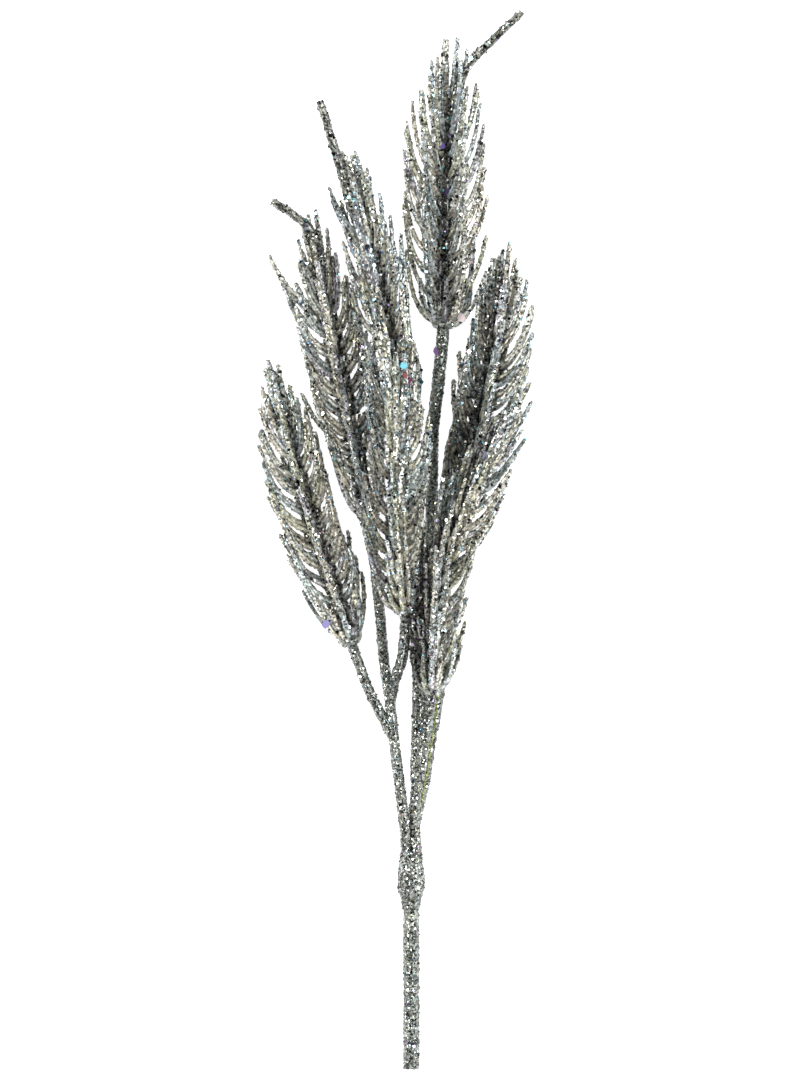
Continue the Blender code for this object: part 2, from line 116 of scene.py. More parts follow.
# Painted highlights along the ridges of bare blades, and painted shade in their furrows.
RIDGE_PAINTED_HIGHLIGHT = 2.2
FURROW_PAINTED_SHADE = 0.8
WARM_TINTS = [
    (1.04, 0.98, 0.92), (1.08, 1.0, 0.93), (0.95, 0.94, 0.8), (1.0, 1.0, 1.0), (1.12, 1.08, 1.04),
]
COOL_TINTS = [(0.88, 0.97, 1.08), (0.97, 1.02, 1.08), (0.82, 0.9, 0.98), (0.95, 0.92, 1.06)]

# An awn leaves the core sideways, bends early and then runs almost along the ear.
AWN_SIDES = 8
AWN_ROOT_RADIUS = 0.9
EARLY_SHARE = 0.64
EARLY_POWER = 2.4
LIFT = 0.35
FIRST_LIFT = 0.12

# How the awns of an ear vary, in degrees and in shares. The top whorls close round the tip.
FIRST_WHORL = 1.5
TOP_WHORLS = 2
TURN_SPREAD = 6.0
RISE_SPREAD = (0.9, 1.06)
TOP_RISE_SPREAD = (0.7, 1.1)
REACH_SPREAD = (0.93, 1.05)
CLOSING_START = 0.6
CLOSING_POWER = 1.3
CLOSED_SHARE = 0.25

# Awns that run into a neighbouring ear, a stem or a wall are drawn back in small steps.
NEIGHBOUR_RANGE = 4.0
PULL_STEPS = 24
PULL_BACK = 0.94
WALL_GIVE = 0.1
SMOOTHING_ROUNDS = 2
ROUTE_STEP = 6

# An awn at the front and the one behind it vary alike, so that the gaps between awns stay open.
TWIN_STEPS = 3.3

# The awns at an ear's sides are doubled: a second one stands this share of a step higher up.
# Sines and cosines of the angle round the ear say which awns stand at a side or the front.
DOUBLE_STEP = 0.36
DOUBLE_WIDTH = 0.85
DOUBLE_REACH = (0.8, 0.94)
DOUBLE_RISE = (0.72, 0.92)
DOUBLE_FROM = -0.3
SIDE_SINE = 0.75
FLANK_SINE = 0.95
FLANK_REACH = 0.8

# Two awns more stand beside each one in the front row of a broad ear, turned and moved up.
FRONT_COSINE = 0.9
FRONT_TURNS = (10.0, 20.0)
FRONT_STEPS = (1.0, 5.0)
FRONT_WIDTH = 0.9

# A stray's root lies this share of an awn's rise below its tip.
STRAY_RISE = 0.95
STRAY_CURL = 0.4
STRAY_WIDTH = 1.15
STRAY_LIGHT = 0.75

# Short husks fill the whorls between the awns, and wide scales form the bowl at the base.
HUSK_SIDES = 6
HUSK_REACH = 3.5
HUSK_REACH_SPREAD = (0.85, 1.2)
HUSK_RISE = 8.5
HUSK_RISE_SPREAD = (0.8, 1.2)
HUSK_WIDTH = 0.9
WALL_HUSK = 2.2
SCALE_REACH = 0.74
SCALE_REACH_SPREAD = (0.9, 1.1)
SCALE_RISE = 0.6
SCALE_WIDTH = 1.15

# The core widens to a cup over the stem's socket, and narrows to a slim bar above it.
CORE_RADIUS = 2.5
CORE_END = 4.0
CORE_SIDES = 12
CORE_FROM = 2
CUP_RADIUS = 4.6
CUP_BULGE = 0.4
CUP_AT = 3.6
CUP_END = 8.0
CUP_RINGS = 3
NECK_RADIUS = 3.0
HUB_WALL = 1.1
SOCKET_DEPTH = 3.5
SPIKE_ROOT_RADIUS = 2.1
SPIKE_TIP_RADIUS = 1.35
SPIKE_MARK = (0.5, 0.5, 0.47, 0.1)

# Stems are round bars, and the bare line along one of them is a thin bar sunk into its top.
PATH_STEP = 3.0
FINE_STEP = 1.2
STEM_SIDES = 14
SEAM_RADIUS = 0.7
SEAM_COVER = 0.4
SEAM_MARK = (0.85, 0.95, 0.3, 1.0)
ROUGHNESS_OF_FORM = 0.07

# The seeds of the random draws. Those of an ear are its own number and these together.
FILL_SEED = 500
STRAY_SEED = 700
CORE_SEED = 900
GLITTER_SEED = 1000
STEM_SEED = 109
COLLAR_SEED = 113

# Each ear: its axis from the base to the top, how far its awns reach out and along, its number
# of whorls, the way it is turned, the radius of its stem, and its seed.
# The bowl gives the share of the reach that the lowest whorls have. The tone is how light its
# coat is, and the painted shade is a side painted darker, as in shade: the angle from its front,
# and how much darker it is.
# In a pair the left side comes first: the share of side awns that are doubled, and how early
# the awns curl. A broad ear has more awns at its front. The strays are tips that stand apart,
# a spike is the core's bare end, and a wall is a line that the left side is pressed against.
EARS = {
    "ear_far_left": {
        "axis": [(-15.8, -37.4, 10.5), (-26.0, -6.0, 10.4), (-35.2, 24.0, 10.2), (-45.4, 64.4, 10.0)],
        "reach": 12.8, "rise": 22.0, "whorls": 13, "turn": 2, "stem": 1.8, "seed": 3,
        "bowl": [(0, 0.74), (2, 0.94), (4, 1.0)], "tone": 1.22,
        "painted_shade": (-35.0, 0.3), "doubled": (0.55, 0.9), "curls": (0.64, 0.64), "broad": False,
        "strays": [(-46.1, 65.2, 12.0), (-43.9, 61.2, 9.0), (-46.4, 52.9, 8.0), (-49.3, 38.9, 10.0),
            (-49.3, 34.6, 7.0), (-46.8, 22.0, 9.0), (-46.2, 16.2, 12.0), (-41.8, 2.5, 9.0),
            (-39.2, -4.7, 12.0), (-33.6, -17.6, 10.0), (-32.8, 48.2, 12.0), (-17.6, 4.0, 11.0),
            (-14.9, -5.0, 9.0), (-12.6, -11.0, 11.0)],
    },
    "ear_left": {
        "axis": [(-9.7, 7.6, 10.5), (-15.0, 35.0, 10.4), (-22.4, 70.0, 10.6), (-31.5, 117.0, 11.5)],
        "reach": 13.2, "rise": 23.0, "whorls": 13, "turn": 2, "stem": 1.8, "seed": 11,
        "bowl": [(0, 0.74), (2, 0.94), (4, 1.0)], "tone": 1.04,
        "painted_shade": (-70.0, 0.45), "doubled": (1.0, 1.0), "curls": (0.64, 0.64), "broad": False,
        "strays": [(-34.9, 108.4, 12.0), (-28.8, 116.6, 9.0), (-25.2, 113.0, 12.0),
            (-45.5, 103.0, 11.0), (-44.0, 100.4, 10.0), (-41.4, 94.3, 9.0), (-38.9, 87.5, 12.0),
            (-33.8, 53.3, 11.0)],
        "spike": [(-29.8, 109.5, 14.0), (-36.5, 117.0, 16.0), (-44.6, 122.0, 17.0)],
    },
    "ear_lower_centre": {
        "axis": [(3.2, -25.6, 20.0), (0.2, 0.0, 29.0), (0.2, 32.8, 38.0), (-7.0, 77.0, 43.0)],
        "reach": 12.9, "rise": 22.0, "whorls": 13, "turn": -3, "stem": 1.9, "seed": 23,
        "bowl": [(0, 0.95), (2, 1.0)], "tone": 1.22,
        "painted_shade": (66.0, 0.5), "doubled": (0.8, 0.8), "curls": (0.64, 0.64), "broad": True,
        "strays": [],
    },
    "ear_upper_centre": {
        "axis": [(3.2, 32.8, 18.0), (-0.8, 61.6, 21.0), (-6.4, 95.0, 21.0), (-17.0, 139.0, 20.0)],
        "reach": 11.0, "rise": 22.0, "whorls": 12, "turn": 26, "stem": 1.9, "seed": 31,
        "bowl": [(0, 0.74), (2, 0.94), (4, 1.0)], "tone": 1.02,
        "painted_shade": (-40.0, 0.25), "doubled": (0.7, 0.7), "curls": (0.64, 0.64), "broad": True,
        "strays": [(-19.4, 140.0, 24.0), (-14.4, 139.0, 20.0), (-11.2, 132.5, 23.0),
            (-6.1, 124.9, 20.0), (-24.1, 127.1, 22.0), (-23.0, 122.8, 19.0)],
        "spike": [(-15.2, 118.0, 25.0), (-19.2, 131.5, 27.0), (-23.2, 144.4, 28.0), (-27.2, 157.4, 29.0)],
    },
    "ear_top_right": {
        "axis": [(16.9, 76.7, 13.8), (17.3, 104.8, 13.4), (18.0, 141.0, 13.2), (21.0, 179.0, 13.2)],
        "reach": 14.4, "rise": 27.0, "whorls": 11, "turn": 30, "stem": 2.2, "seed": 47,
        "bowl": [(0, 0.98), (2, 1.0)], "tone": 0.92,
        "painted_shade": (0.0, 0.6), "doubled": (0.5, 0.15), "curls": (0.64, 0.64), "broad": False,
        "strays": [(22.0, 181.1, 15.0), (25.6, 177.1, 12.0), (15.1, 174.6, 13.0), (12.2, 167.4, 14.0),
            (9.0, 162.4, 13.0), (29.5, 162.7, 14.0), (31.3, 148.3, 12.0), (4.0, 140.8, 14.0),
            (31.9, 134.6, 13.0), (32.9, 124.6, 11.0), (32.3, 109.8, 18.0), (32.2, 96.8, 19.0),
            (4.0, 151.2, 12.0)],
        "spike": [(24.4, 168.5, 17.0), (34.5, 179.6, 20.0), (45.2, 189.8, 21.0)],
    },
    "ear_lower_right": {
        "axis": [(12.6, -54.4, 14.0), (14.2, -24.0, 25.0), (21.8, 3.0, 32.0), (44.6, 50.0, 38.0)],
        "reach": 12.6, "rise": 22.0, "whorls": 13, "turn": 2, "stem": 1.9, "seed": 59,
        "bowl": [(0, 0.74), (2, 0.94), (4, 1.0)], "tone": 1.03,
        "painted_shade": (80.0, 0.62), "doubled": (1.0, 0.3), "curls": (0.6, 0.5), "broad": True,
        "strays": [(48.6, 50.0, 36.0), (46.1, 36.7, 33.0), (39.1, 16.9, 28.0), (25.4, -20.2, 20.0),
            (24.8, -28.8, 18.0), (23.4, -37.4, 16.0), (34.8, 7.2, 26.0), (47.8, 56.6, 38.0)],
        "wall": [(12.6, -30.0), (15.0, 30.0)],
    },
    "ear_upper_right": {
        "axis": [(19.1, 7.6, 11.8), (28.8, 36.0, 11.6), (35.9, 68.8, 11.4), (40.4, 106.6, 11.4)],
        "reach": 14.0, "rise": 24.0, "whorls": 12, "turn": 2, "stem": 2.1, "seed": 71,
        "bowl": [(0, 0.74), (2, 0.94), (4, 1.0)], "tone": 0.98,
        "painted_shade": (35.0, 0.5), "doubled": (1.0, 0.35), "curls": (0.64, 0.64), "broad": False,
        "strays": [(41.0, 107.6, 13.0), (38.5, 105.1, 10.0), (43.7, 98.6, 12.0), (47.2, 94.0, 11.0),
            (49.3, 82.4, 12.0), (48.2, 67.7, 12.0), (23.0, 68.4, 13.0), (20.9, 58.3, 12.0)],
        "wall": [(14.4, 7.0), (19.6, 50.0)],
    },
}

# Each branch: a trunk out of the collar, and the arms that leave it for the ears. A seam is
# the stretch, from one y to another, where a bare line runs along its top.
BRANCHES = {
    "branch_left": {
        "trunk": [(2.9, -101.0, 8.0), (1.1, -86.4, 8.4), (-0.7, -71.6, 8.4), (-2.2, -58.0, 8.4)],
        "arms": {
            "ear_far_left": [(-0.7, -71.6, 8.4), (-4.4, -64.4, 8.8), (-9.8, -53.6, 10.0)],
            "ear_left": [(-2.2, -58.0, 8.4), (-4.3, -43.0, 8.4), (-6.2, -22.0, 9.0)],
            "ear_lower_centre": [(-2.2, -58.0, 8.4), (-0.2, -49.3, 10.4), (2.3, -41.8, 13.4)],
        },
        "radius": 1.9, "seed": 101,
    },
    "branch_middle": {
        "trunk": [(6.4, -101.0, 5.5), (7.7, -86.4, 7.0), (9.0, -70.0, 8.2)],
        "arms": {
            "ear_upper_centre": [(6.9, -86.4, 7.0), (7.8, -55.0, 8.0), (7.0, -29.0, 7.6), (5.6, 2.0, 9.6)],
            "ear_top_right": [
                (7.7, -86.4, 7.0), (9.8, -55.0, 8.0), (9.9, -28.4, 7.0), (12.4, -3.2, 6.0),
                (13.0, 22.0, 5.6), (13.3, 40.0, 6.6), (15.1, 56.0, 10.0),
            ],
            "ear_lower_right": [(8.4, -86.4, 7.0), (10.6, -72.0, 8.6)],
        },
        "radius": 2.0, "seed": 103,
    },
    "branch_right": {
        "trunk": [(7.4, -101.0, 1.9), (10.6, -86.0, 2.2), (13.3, -68.0, 2.8)],
        "arms": {
            "ear_upper_right": [
                (13.3, -68.0, 2.8), (16.0, -50.0, 3.2), (17.6, -30.0, 4.6), (17.5, -12.0, 7.6),
            ],
        },
        "radius": 1.7, "seed": 107, "seam": (-111.0, -53.0),
    },
}

# Glitter: flakes for each square millimetre of surface, fewer on bare blades and on the core.
FLAKES_PER_AREA = {"ear": 1.0, "stem": 1.9}
BLADE_COVER = 0.4
CORE_COVER = 0.5

# The radius of the flakes, how much it varies, and how they lie: tilted, and lifted a little
# off the surface with a point below as a root. The shapes are numbers of corners and shares.
FLAKE_RADIUS = {"ear": 0.42, "stem": 0.31}
FLAKE_SPREAD = 0.4
FLAKE_LIMITS = (0.2, 0.85)
FLAKE_TILT = 0.5
FLAKE_LIFT = (0.05, 0.45)
FLAKE_ROOT = 0.6
FLAKE_SHAPES = [(3, 0.45), (4, 0.4), (6, 0.15)]
CORNER_SPREAD = (0.82, 1.18)
FLAKE_ROUGHNESS = (0.08, 0.3)
DULL_SCALE = 700.0
DULL_RANGE = (0.3, 0.7)

# The colours of the flakes, as metals, with the share that each has, in warm and cool patches
# and, where the coat is darker than a given tone, dark colours of painted shade deep among the
# awns, which the dark spikes take too.
WARM_COLOURS = [
    (0.38, (0.66, 0.675, 0.63)),
    (0.24, (0.90, 0.92, 0.89)),
    (0.18, (0.05, 0.05, 0.04)),
    (0.12, (0.55, 0.52, 0.33)),
    (0.04, (0.50, 0.66, 0.80)),
    (0.02, (0.46, 0.32, 0.60)),
    (0.02, (0.84, 0.62, 0.66)),
]
COOL_COLOURS = [
    (0.32, (0.62, 0.69, 0.71)),
    (0.22, (0.86, 0.93, 0.96)),
    (0.18, (0.04, 0.05, 0.06)),
    (0.16, (0.40, 0.60, 0.74)),
    (0.04, (0.12, 0.24, 0.40)),
    (0.03, (0.50, 0.42, 0.68)),
    (0.02, (0.30, 0.68, 0.72)),
    (0.03, (0.84, 0.66, 0.72)),
]
SHADED_FLAKE_COLOURS = [
    (0.30, (0.03, 0.03, 0.03)),
    (0.20, (0.10, 0.095, 0.085)),
    (0.22, (0.30, 0.31, 0.28)),
    (0.13, (0.72, 0.73, 0.70)),
    (0.06, (0.09, 0.18, 0.26)),
    (0.06, (0.20, 0.13, 0.30)),
    (0.03, (0.20, 0.60, 0.66)),
]
# Below this tone, an ear's flakes take the colours of painted shade.
PAINTED_SHADE_BELOW = 0.6

# The few large flakes that stand out, more like plastic: their place, radius and colour.
LARGE_FLAKES = [
    ((2.9, 62.3), 1.4, (0.25, 0.72, 0.86)),
    ((4.4, 56.9), 1.7, (0.30, 0.08, 0.17)),
    ((3.4, 58.9), 1.1, (0.36, 0.12, 0.12)),
    ((23.6, 80.3), 1.7, (0.84, 0.70, 0.68)),
    ((-25.2, -29.9), 1.6, (0.36, 0.33, 0.60)),
    ((31.6, 30.9), 1.5, (0.36, 0.40, 0.66)),
    ((14.6, 68.2), 1.4, (0.28, 0.14, 0.33)),
    ((16.9, 134.0), 1.2, (0.10, 0.45, 0.52)),
    ((16.6, 142.0), 1.3, (0.20, 0.14, 0.40)),
    ((18.4, 125.6), 1.4, (0.15, 0.11, 0.26)),
    ((13.5, 178.5), 1.2, (0.20, 0.10, 0.14)),
    ((22.3, 187.0), 1.1, (0.24, 0.55, 0.62)),
    ((-37.8, -11.9), 1.1, (0.42, 0.68, 0.82)),
]
LARGE_SIDES = 6
LARGE_LIFT = 0.5
LARGE_TILT = 0.12
LARGE_SHINE = 0.15

# How cool the glitter is on each ear and elsewhere, and the share of awns with a cool coat.
COOL_SHARES = {
    "ear_far_left": 0.45, "ear_left": 0.35, "ear_lower_centre": 0.65, "ear_upper_centre": 0.8,
    "ear_top_right": 0.35, "ear_lower_right": 0.45, "ear_upper_right": 0.7,
}
COOL_ELSEWHERE = 0.4
COOL_AWNS = 0.35

# The patches are where two bent waves cross: their size and strength, how close the two waves
# are, how far each is bent, and how close its bends are.
PATCH = 9.0
PATCH_DEPTH = 0.35
WAVES = (1.3, 1.1)
WAVE_BENDS = (2.1, 1.7)
FIRST_BEND = 0.7
SECOND_BEND = (0.9, 0.5)

# The coat under the flakes: fine grains of glitter in lacquer over olive plastic. Each grain
# has a random tone and slant, and is metal where its random value lies above a range.
EAR_GRAIN = 0.85
STEM_GRAIN = 0.55
COAT_STOPS = [
    (0.0, (0.015, 0.015, 0.01)),
    (0.16, (0.06, 0.058, 0.045)),
    (0.34, (0.24, 0.235, 0.19)),
    (0.6, (0.44, 0.435, 0.37)),
    (0.82, (0.68, 0.68, 0.61)),
    (1.0, (0.92, 0.93, 0.88)),
]
METAL_RANGE = (0.3, 0.5)
METAL_MOST = 0.9
COAT_ROUGHNESS = (0.16, 0.45)
GRAIN_TILT = 0.8
LACQUER = 0.8
LACQUER_ROUGHNESS = 0.14

# Where the coat is bare, this much of the plastic shows, and its grains slant less.
PLASTIC_STOPS = [
    (0.0, (0.16, 0.158, 0.135)),
    (0.5, (0.34, 0.338, 0.295)),
    (1.0, (0.52, 0.517, 0.465)),
]
BARE_PLASTIC = 0.74
BARE_TILT = 0.42

# The cut end of the wire, with lines along it.
WIRE_SCALE = (4000.0, 60.0, 4000.0)
WIRE_STOPS = [(0.3, (0.26, 0.25, 0.24)), (0.7, (0.48, 0.47, 0.45))]
WIRE_ROUGHNESS = 0.42

# The floor glows a little, so that it shows as an even white. Its sizes are in metres.
FLOOR_SIZE = 6.0
FLOOR_DROP = 0.0002
FLOOR_TONE = 0.7
FLOOR_ROUGHNESS = 0.9
FLOOR_GLOSS = 0.1
FLOOR_GLOW = 0.92

# Each light: its name, its place and width in metres, its power and its colour.
LIGHTS = [
    ("key_light", (-1.3, 0.7, 1.3), 0.7, 30.0, (0.98, 0.99, 1.0)),
    ("fill_light", (1.4, 0.4, 1.3), 0.7, 22.0, (0.92, 0.97, 1.0)),
    ("low_light", (0.2, -1.5, 1.3), 0.5, 13.5, (1.0, 1.0, 1.0)),
    ("back_light", (0.1, 1.6, 1.2), 0.5, 13.5, (0.96, 0.98, 1.0)),
]

# The light of the room around, from the horizon up to the dark zenith.
SKY_STOPS = [
    (0.0, (0.7, 0.7, 0.7)),
    (0.35, (0.34, 0.34, 0.34)),
    (0.75, (0.05, 0.05, 0.055)),
    (1.0, (0.01, 0.01, 0.012)),
]


def smooth_path(points, step):
    """Points about a step apart on a smooth curve through the given points."""
    knots = [Vector(point) for point in points]
    before = knots[0] * 2 - knots[1]
    after = knots[-1] * 2 - knots[-2]
    knots = [before] + knots + [after]
    path = []
    for a, b, c, d in zip(knots, knots[1:], knots[2:], knots[3:]):
        count = max(1, round((c - b).length / step))
        for index in range(count):
            t = index / count
            linear = (c - a) * t
            square = (a * 2 - b * 5 + c * 4 - d) * t**2
            cubic = (b * 3 - a - c * 3 + d) * t**3
            path.append(b + (linear + square + cubic) / 2)
    path.append(knots[-2])
    return path


def direction_at(path, index):
    ahead = path[min(index + 1, len(path) - 1)]
    behind = path[max(index - 1, 0)]
    return (ahead - behind).normalized()


def nearest_on(path, point):
    """The point of a path that lies nearest to the given one."""
    best = None
    shortest = math.inf
    for start, end in zip(path, path[1:]):
        along = end - start
        share = (point - start).dot(along) / along.length_squared
        spot = start + along * min(max(share, 0.0), 1.0)
        distance = (point - spot).length_squared
        if distance < shortest:
            best = spot
            shortest = distance
    return best


def read_profile(profile, place):
    """A size read from a short list of (place, size) pairs, with smooth steps between them."""
    for (start, low), (end, high) in zip(profile, profile[1:]):
        if place <= end:
            t = (place - start) / (end - start)
            return low + (high - low) * t * t * (3.0 - 2.0 * t)
    return profile[-1][1]


# The line up the middle of each ear.
EAR_AXES = {name: smooth_path(ear["axis"], PATH_STEP) for name, ear in EARS.items()}


class Body:
    """A piece while it is made: its corners and faces, the glitter cover of each face, and
    for each corner the tone of its coat, with painted shade and painted highlights in it, and how bare it
    is.
    """

    def __init__(self):
        self.corners = []
        self.faces = []
        self.cover = []
        self.marks = []

    def add_loft(self, rings, covers, marks):
        """Join rings of corners into a closed bar, with a cover for each stretch between them."""
        first = len(self.corners)
        sides = len(rings[0])
        for ring in rings:
            self.corners.extend(ring)
        self.marks.extend(marks)
        for number, cover in enumerate(covers):
            lower = first + number * sides
            upper = lower + sides
            for index in range(sides):
                following = (index + 1) % sides
                self.faces.append((lower + index, lower + following, upper + following, upper + index))
                self.cover.append(cover)
        last = first + (len(rings) - 1) * sides
        self.faces.append(tuple(first + index for index in reversed(range(sides))))
        self.faces.append(tuple(last + index for index in range(sides)))
        self.cover.extend((covers[0], covers[-1]))

    def corner_array(self):
        corners = np.array([tuple(corner) for corner in self.corners])
        corners[:, 2] = np.maximum(corners[:, 2], 0.0)
        return corners


def section_round(point, along, across, width, outer, inner, sides, draw):
    """A closed section: its half width across, and its depths on the outer and inner side."""
    normal = along.cross(across)
    ring = []
    for index in range(sides):
        angle = 2.0 * math.pi * index / sides
        rough = 1.0 + draw.uniform(-ROUGHNESS_OF_FORM, ROUGHNESS_OF_FORM)
        depth = math.sin(angle)
        depth *= outer if depth > 0.0 else inner
        ring.append(point + (across * (width * math.cos(angle)) + normal * depth) * rough)
    return ring


def shaded_side_marks(mark, sides):
    """A mark for each corner of a section, with painted shade on its lower side and a little painted light
    on top.
    """
    marks = []
    for index in range(sides):
        height = -math.sin(2.0 * math.pi * index / sides)
        tone = read_profile(PAINTED_SHADE_BY_HEIGHT, height)
        marks.append((mark[0] * tone, mark[1] * tone, mark[2] * tone, mark[3]))
    return marks


def round_rings(path, radii, sides, draw):
    """Round sections along a path, slightly uneven."""
    rings = []
    for index, (point, radius) in enumerate(zip(path, radii)):
        along = direction_at(path, index)
        across = along.cross(Vector((0.0, 0.0, 1.0))).normalized()
        rings.append(section_round(point, along, across, radius, radius, radius, sides, draw))
    return rings


def add_tube(body, path, radii, sides, draw, cover=1.0, open_rings=None, mark=OPEN_MARK):
    """A round bar along a path. Its rings past the open ones are deep inside, in the core's painted shade.
    """
    rings = round_rings(path, radii, sides, draw)
    open_rings = len(rings) if open_rings is None else open_rings
    marks = shaded_side_marks(mark, sides) * open_rings
    marks += shaded_side_marks(CORE_PAINTED_SHADE_MARK, sides) * (len(rings) - open_rings)
    body.add_loft(rings, [cover] * (len(rings) - 1), marks)


def root_start(name):
    """Where a branch's root ends inside the collar."""
    angle = math.radians(ROOT_ANGLES[name])
    top = COLLAR_Y + COLLAR_PROFILE[-1][0]
    across = Vector((math.cos(angle), 0.0, math.sin(angle))) * ROOT_CIRCLE
    return Vector((STEM_X, top - ROOT_DEPTH, STEM_Z)) + across


def trunk_path(name):
    """A branch's trunk, with a straight root in the collar."""
    start = root_start(name)
    straight = Vector((0.0, ROOT_DEPTH + ROOT_LEAD, 0.0))
    return [start] + smooth_path([start + straight] + BRANCHES[name]["trunk"], FINE_STEP)


def arm_path(name, ear_name):
    """An arm from its trunk to an ear, with a straight end that stands in the ear's socket."""
    base = EAR_AXES[ear_name][0]
    along = direction_at(EAR_AXES[ear_name], 0)
    route = [Vector(point) for point in BRANCHES[name]["arms"][ear_name]]
    route.append(base - along * SOCKET_DEPTH)
    return smooth_path(route, FINE_STEP) + [base + along * (SOCKET_DEPTH - GAP)]


def coarse(path):
    """Every few points of a fine path, which is enough to keep clear of it."""
    return path[:-1:ROUTE_STEP] + [path[-1]]


def stem_routes():
    """Every stretch of stem with its radius, which the awns keep clear of."""
    routes = []
    for name, branch in BRANCHES.items():
        routes.append((coarse(trunk_path(name)), branch["radius"]))
        for ear_name in branch["arms"]:
            routes.append((coarse(arm_path(name, ear_name)[:-1]), EARS[ear_name]["stem"]))
    return routes


def awn_reach(ear, share):
    """How far out the awns of a whorl reach. The top whorls close round the tip."""
    closing = max(0.0, share - CLOSING_START) / (1.0 - CLOSING_START)
    return ear["reach"] * (1.0 - (1.0 - CLOSED_SHARE) * closing**CLOSING_POWER)


def awn_line(root, along, outward, reach, rise, lift, shares=AWN_SHARES, curl=EARLY_SHARE):
    """The middle line of an awn, which bends from outward to almost along the ear."""
    line = []
    for share in shares:
        early = 1.0 - (1.0 - share) ** EARLY_POWER
        bend = curl * early + (1.0 - curl) * share
        out = AWN_ROOT_RADIUS + (reach - AWN_ROOT_RADIUS) * bend
        up = rise * (lift * share + (1.0 - lift) * share**2)
        line.append(root + outward * out + along * up)
    return line


def clear_of_ears(name, point, margin):
    """Draw a point back towards its own ear where a neighbouring ear presses against it."""
    own = nearest_on(EAR_AXES[name], point)
    for other, axis in EAR_AXES.items():
        if other == name:
            continue
        theirs = nearest_on(axis, point)
        spread = (own - theirs).length
        if spread > EARS[name]["reach"] + EARS[other]["reach"] + NEIGHBOUR_RANGE:
            continue
        bias = EARS[name]["reach"] ** 2 - EARS[other]["reach"] ** 2
        for _ in range(PULL_STEPS):
            room = (point - theirs).length_squared - (point - own).length_squared + bias
            if room / (2.0 * spread) > margin:
                break
            point = own + (point - own) * PULL_BACK
    return point


def clear_of_stems(point, margin, routes):
    """Push a point off any stem that passes close to it."""
    for path, radius in routes:
        spot = nearest_on(path, point)
        off = point - spot
        needed = radius + margin
        if off.length < needed:
            point = spot + off.normalized() * needed
    return point


def behind_wall(name, point, margin):
    """Hold a point on the right of the line that an ear's left side is pressed flat against."""
    if "wall" not in EARS[name]:
        return point
    (x0, y0), (x1, y1) = EARS[name]["wall"]
    edge = x0 + (x1 - x0) * (point.y - y0) / (y1 - y0) + margin
    if point.x < edge:
        point = Vector((edge - (edge - point.x) * WALL_GIVE, point.y, point.z))
    return point


def place_awn(name, line, routes, among=True):
    """Bend an awn clear of the stems, the surface and, among other ears, of these."""
    shifts = [Vector((0.0, 0.0, 0.0))]
    for start, share in zip(line[1:], AWN_SHARES[1:]):
        half = read_profile(AWN_WIDTHS, share) / 2.0
        point = start
        if among:
            point = behind_wall(name, point, half)
            point = clear_of_ears(name, point, half + GAP)
        point = clear_of_stems(point, half + 2.0 * GAP, routes)
        shifts.append(point - start)
    for _ in range(SMOOTHING_ROUNDS):
        ends = zip(shifts, shifts[1:], shifts[2:] + shifts[-1:])
        shifts = shifts[:1] + [(before + here * 2.0 + after) / 4.0 for before, here, after in ends]
    placed = [point + shift for point, shift in zip(line, shifts)]
    for point, share in zip(placed, AWN_SHARES):
        point.z = max(point.z, read_profile(AWN_DEPTHS, share) / 2.0)
    return placed


def add_awn(
    body, line, side, width_scale, sides, draw,
    shares=AWN_SHARES, painted_shades=AWN_PAINTED_SHADE, bareness=AWN_BARENESS, light=1.0,
):
    """A bristle with a keeled blade at its root, lofted along its middle line."""
    rings = []
    covers = []
    marks = []
    tint = Vector(draw.choice(COOL_TINTS if draw.random() < COOL_AWNS else WARM_TINTS))
    for index, (point, share) in enumerate(zip(line, shares)):
        along = direction_at(line, index)
        across = (side - along * side.dot(along)).normalized()
        width = read_profile(AWN_WIDTHS, share) * width_scale
        depth = read_profile(AWN_DEPTHS, share)
        rings.append(
            section_round(point, along, across, width / 2.0, depth / 3.0, depth * 2.0 / 3.0, sides, draw)
        )
        bare = read_profile(bareness, share)
        covers.append(1.0 - (1.0 - BLADE_COVER) * bare)
        # The awn's own tint, with painted shade towards its root and painted light from its place round
        # the ear.
        tone = tint * read_profile(painted_shades, share) * light
        # Bare stretches get alternate stripes of painted highlight and painted shade round the section.
        for number in range(sides):
            painted_streak = FURROW_PAINTED_SHADE if number % 2 else RIDGE_PAINTED_HIGHLIGHT
            marks.append((*(tone * (1.0 + (painted_streak - 1.0) * bare)), bare))
    body.add_loft(rings, covers[:-1], marks)


def whorl_places(name):
    """Where each whorl stands on the axis, with the axis' direction there."""
    ear = EARS[name]
    axis = EAR_AXES[name]
    lengths = [0.0]
    for start, end in zip(axis, axis[1:]):
        lengths.append(lengths[-1] + (end - start).length)
    spacing = (lengths[-1] - FIRST_WHORL - ear["rise"]) / (ear["whorls"] - 1)
    for number in range(ear["whorls"]):
        wanted = FIRST_WHORL + spacing * number
        index = max(i for i, length in enumerate(lengths[:-1]) if length <= wanted)
        step = (wanted - lengths[index]) / (lengths[index + 1] - lengths[index])
        yield axis[index].lerp(axis[index + 1], step), direction_at(axis, index)


def around(along, angle):
    """The ways outward and sideways at an angle round an ear, from its front."""
    front = (Vector((0.0, 0.0, 1.0)) - along * along.z).normalized()
    beside = front.cross(along)
    outward = front * math.cos(angle) + beside * math.sin(angle)
    side = beside * math.cos(angle) - front * math.sin(angle)
    return outward, side


def painted_light_at(ear, angle):
    """The awns' tone at an angle round an ear: the ear's own tone, with painted shade at its back and on
    its shaded side.
    """
    light = BACK_PAINTED_SHADE + (1.0 - BACK_PAINTED_SHADE) * (0.5 + 0.5 * math.cos(angle))
    side, depth = ear["painted_shade"]
    away = (math.degrees(angle) - side + 180.0) % 360.0 - 180.0
    return ear["tone"] * light * (1.0 - depth * math.exp(-((away / PAINTED_SHADE_WIDTH) ** 2)))


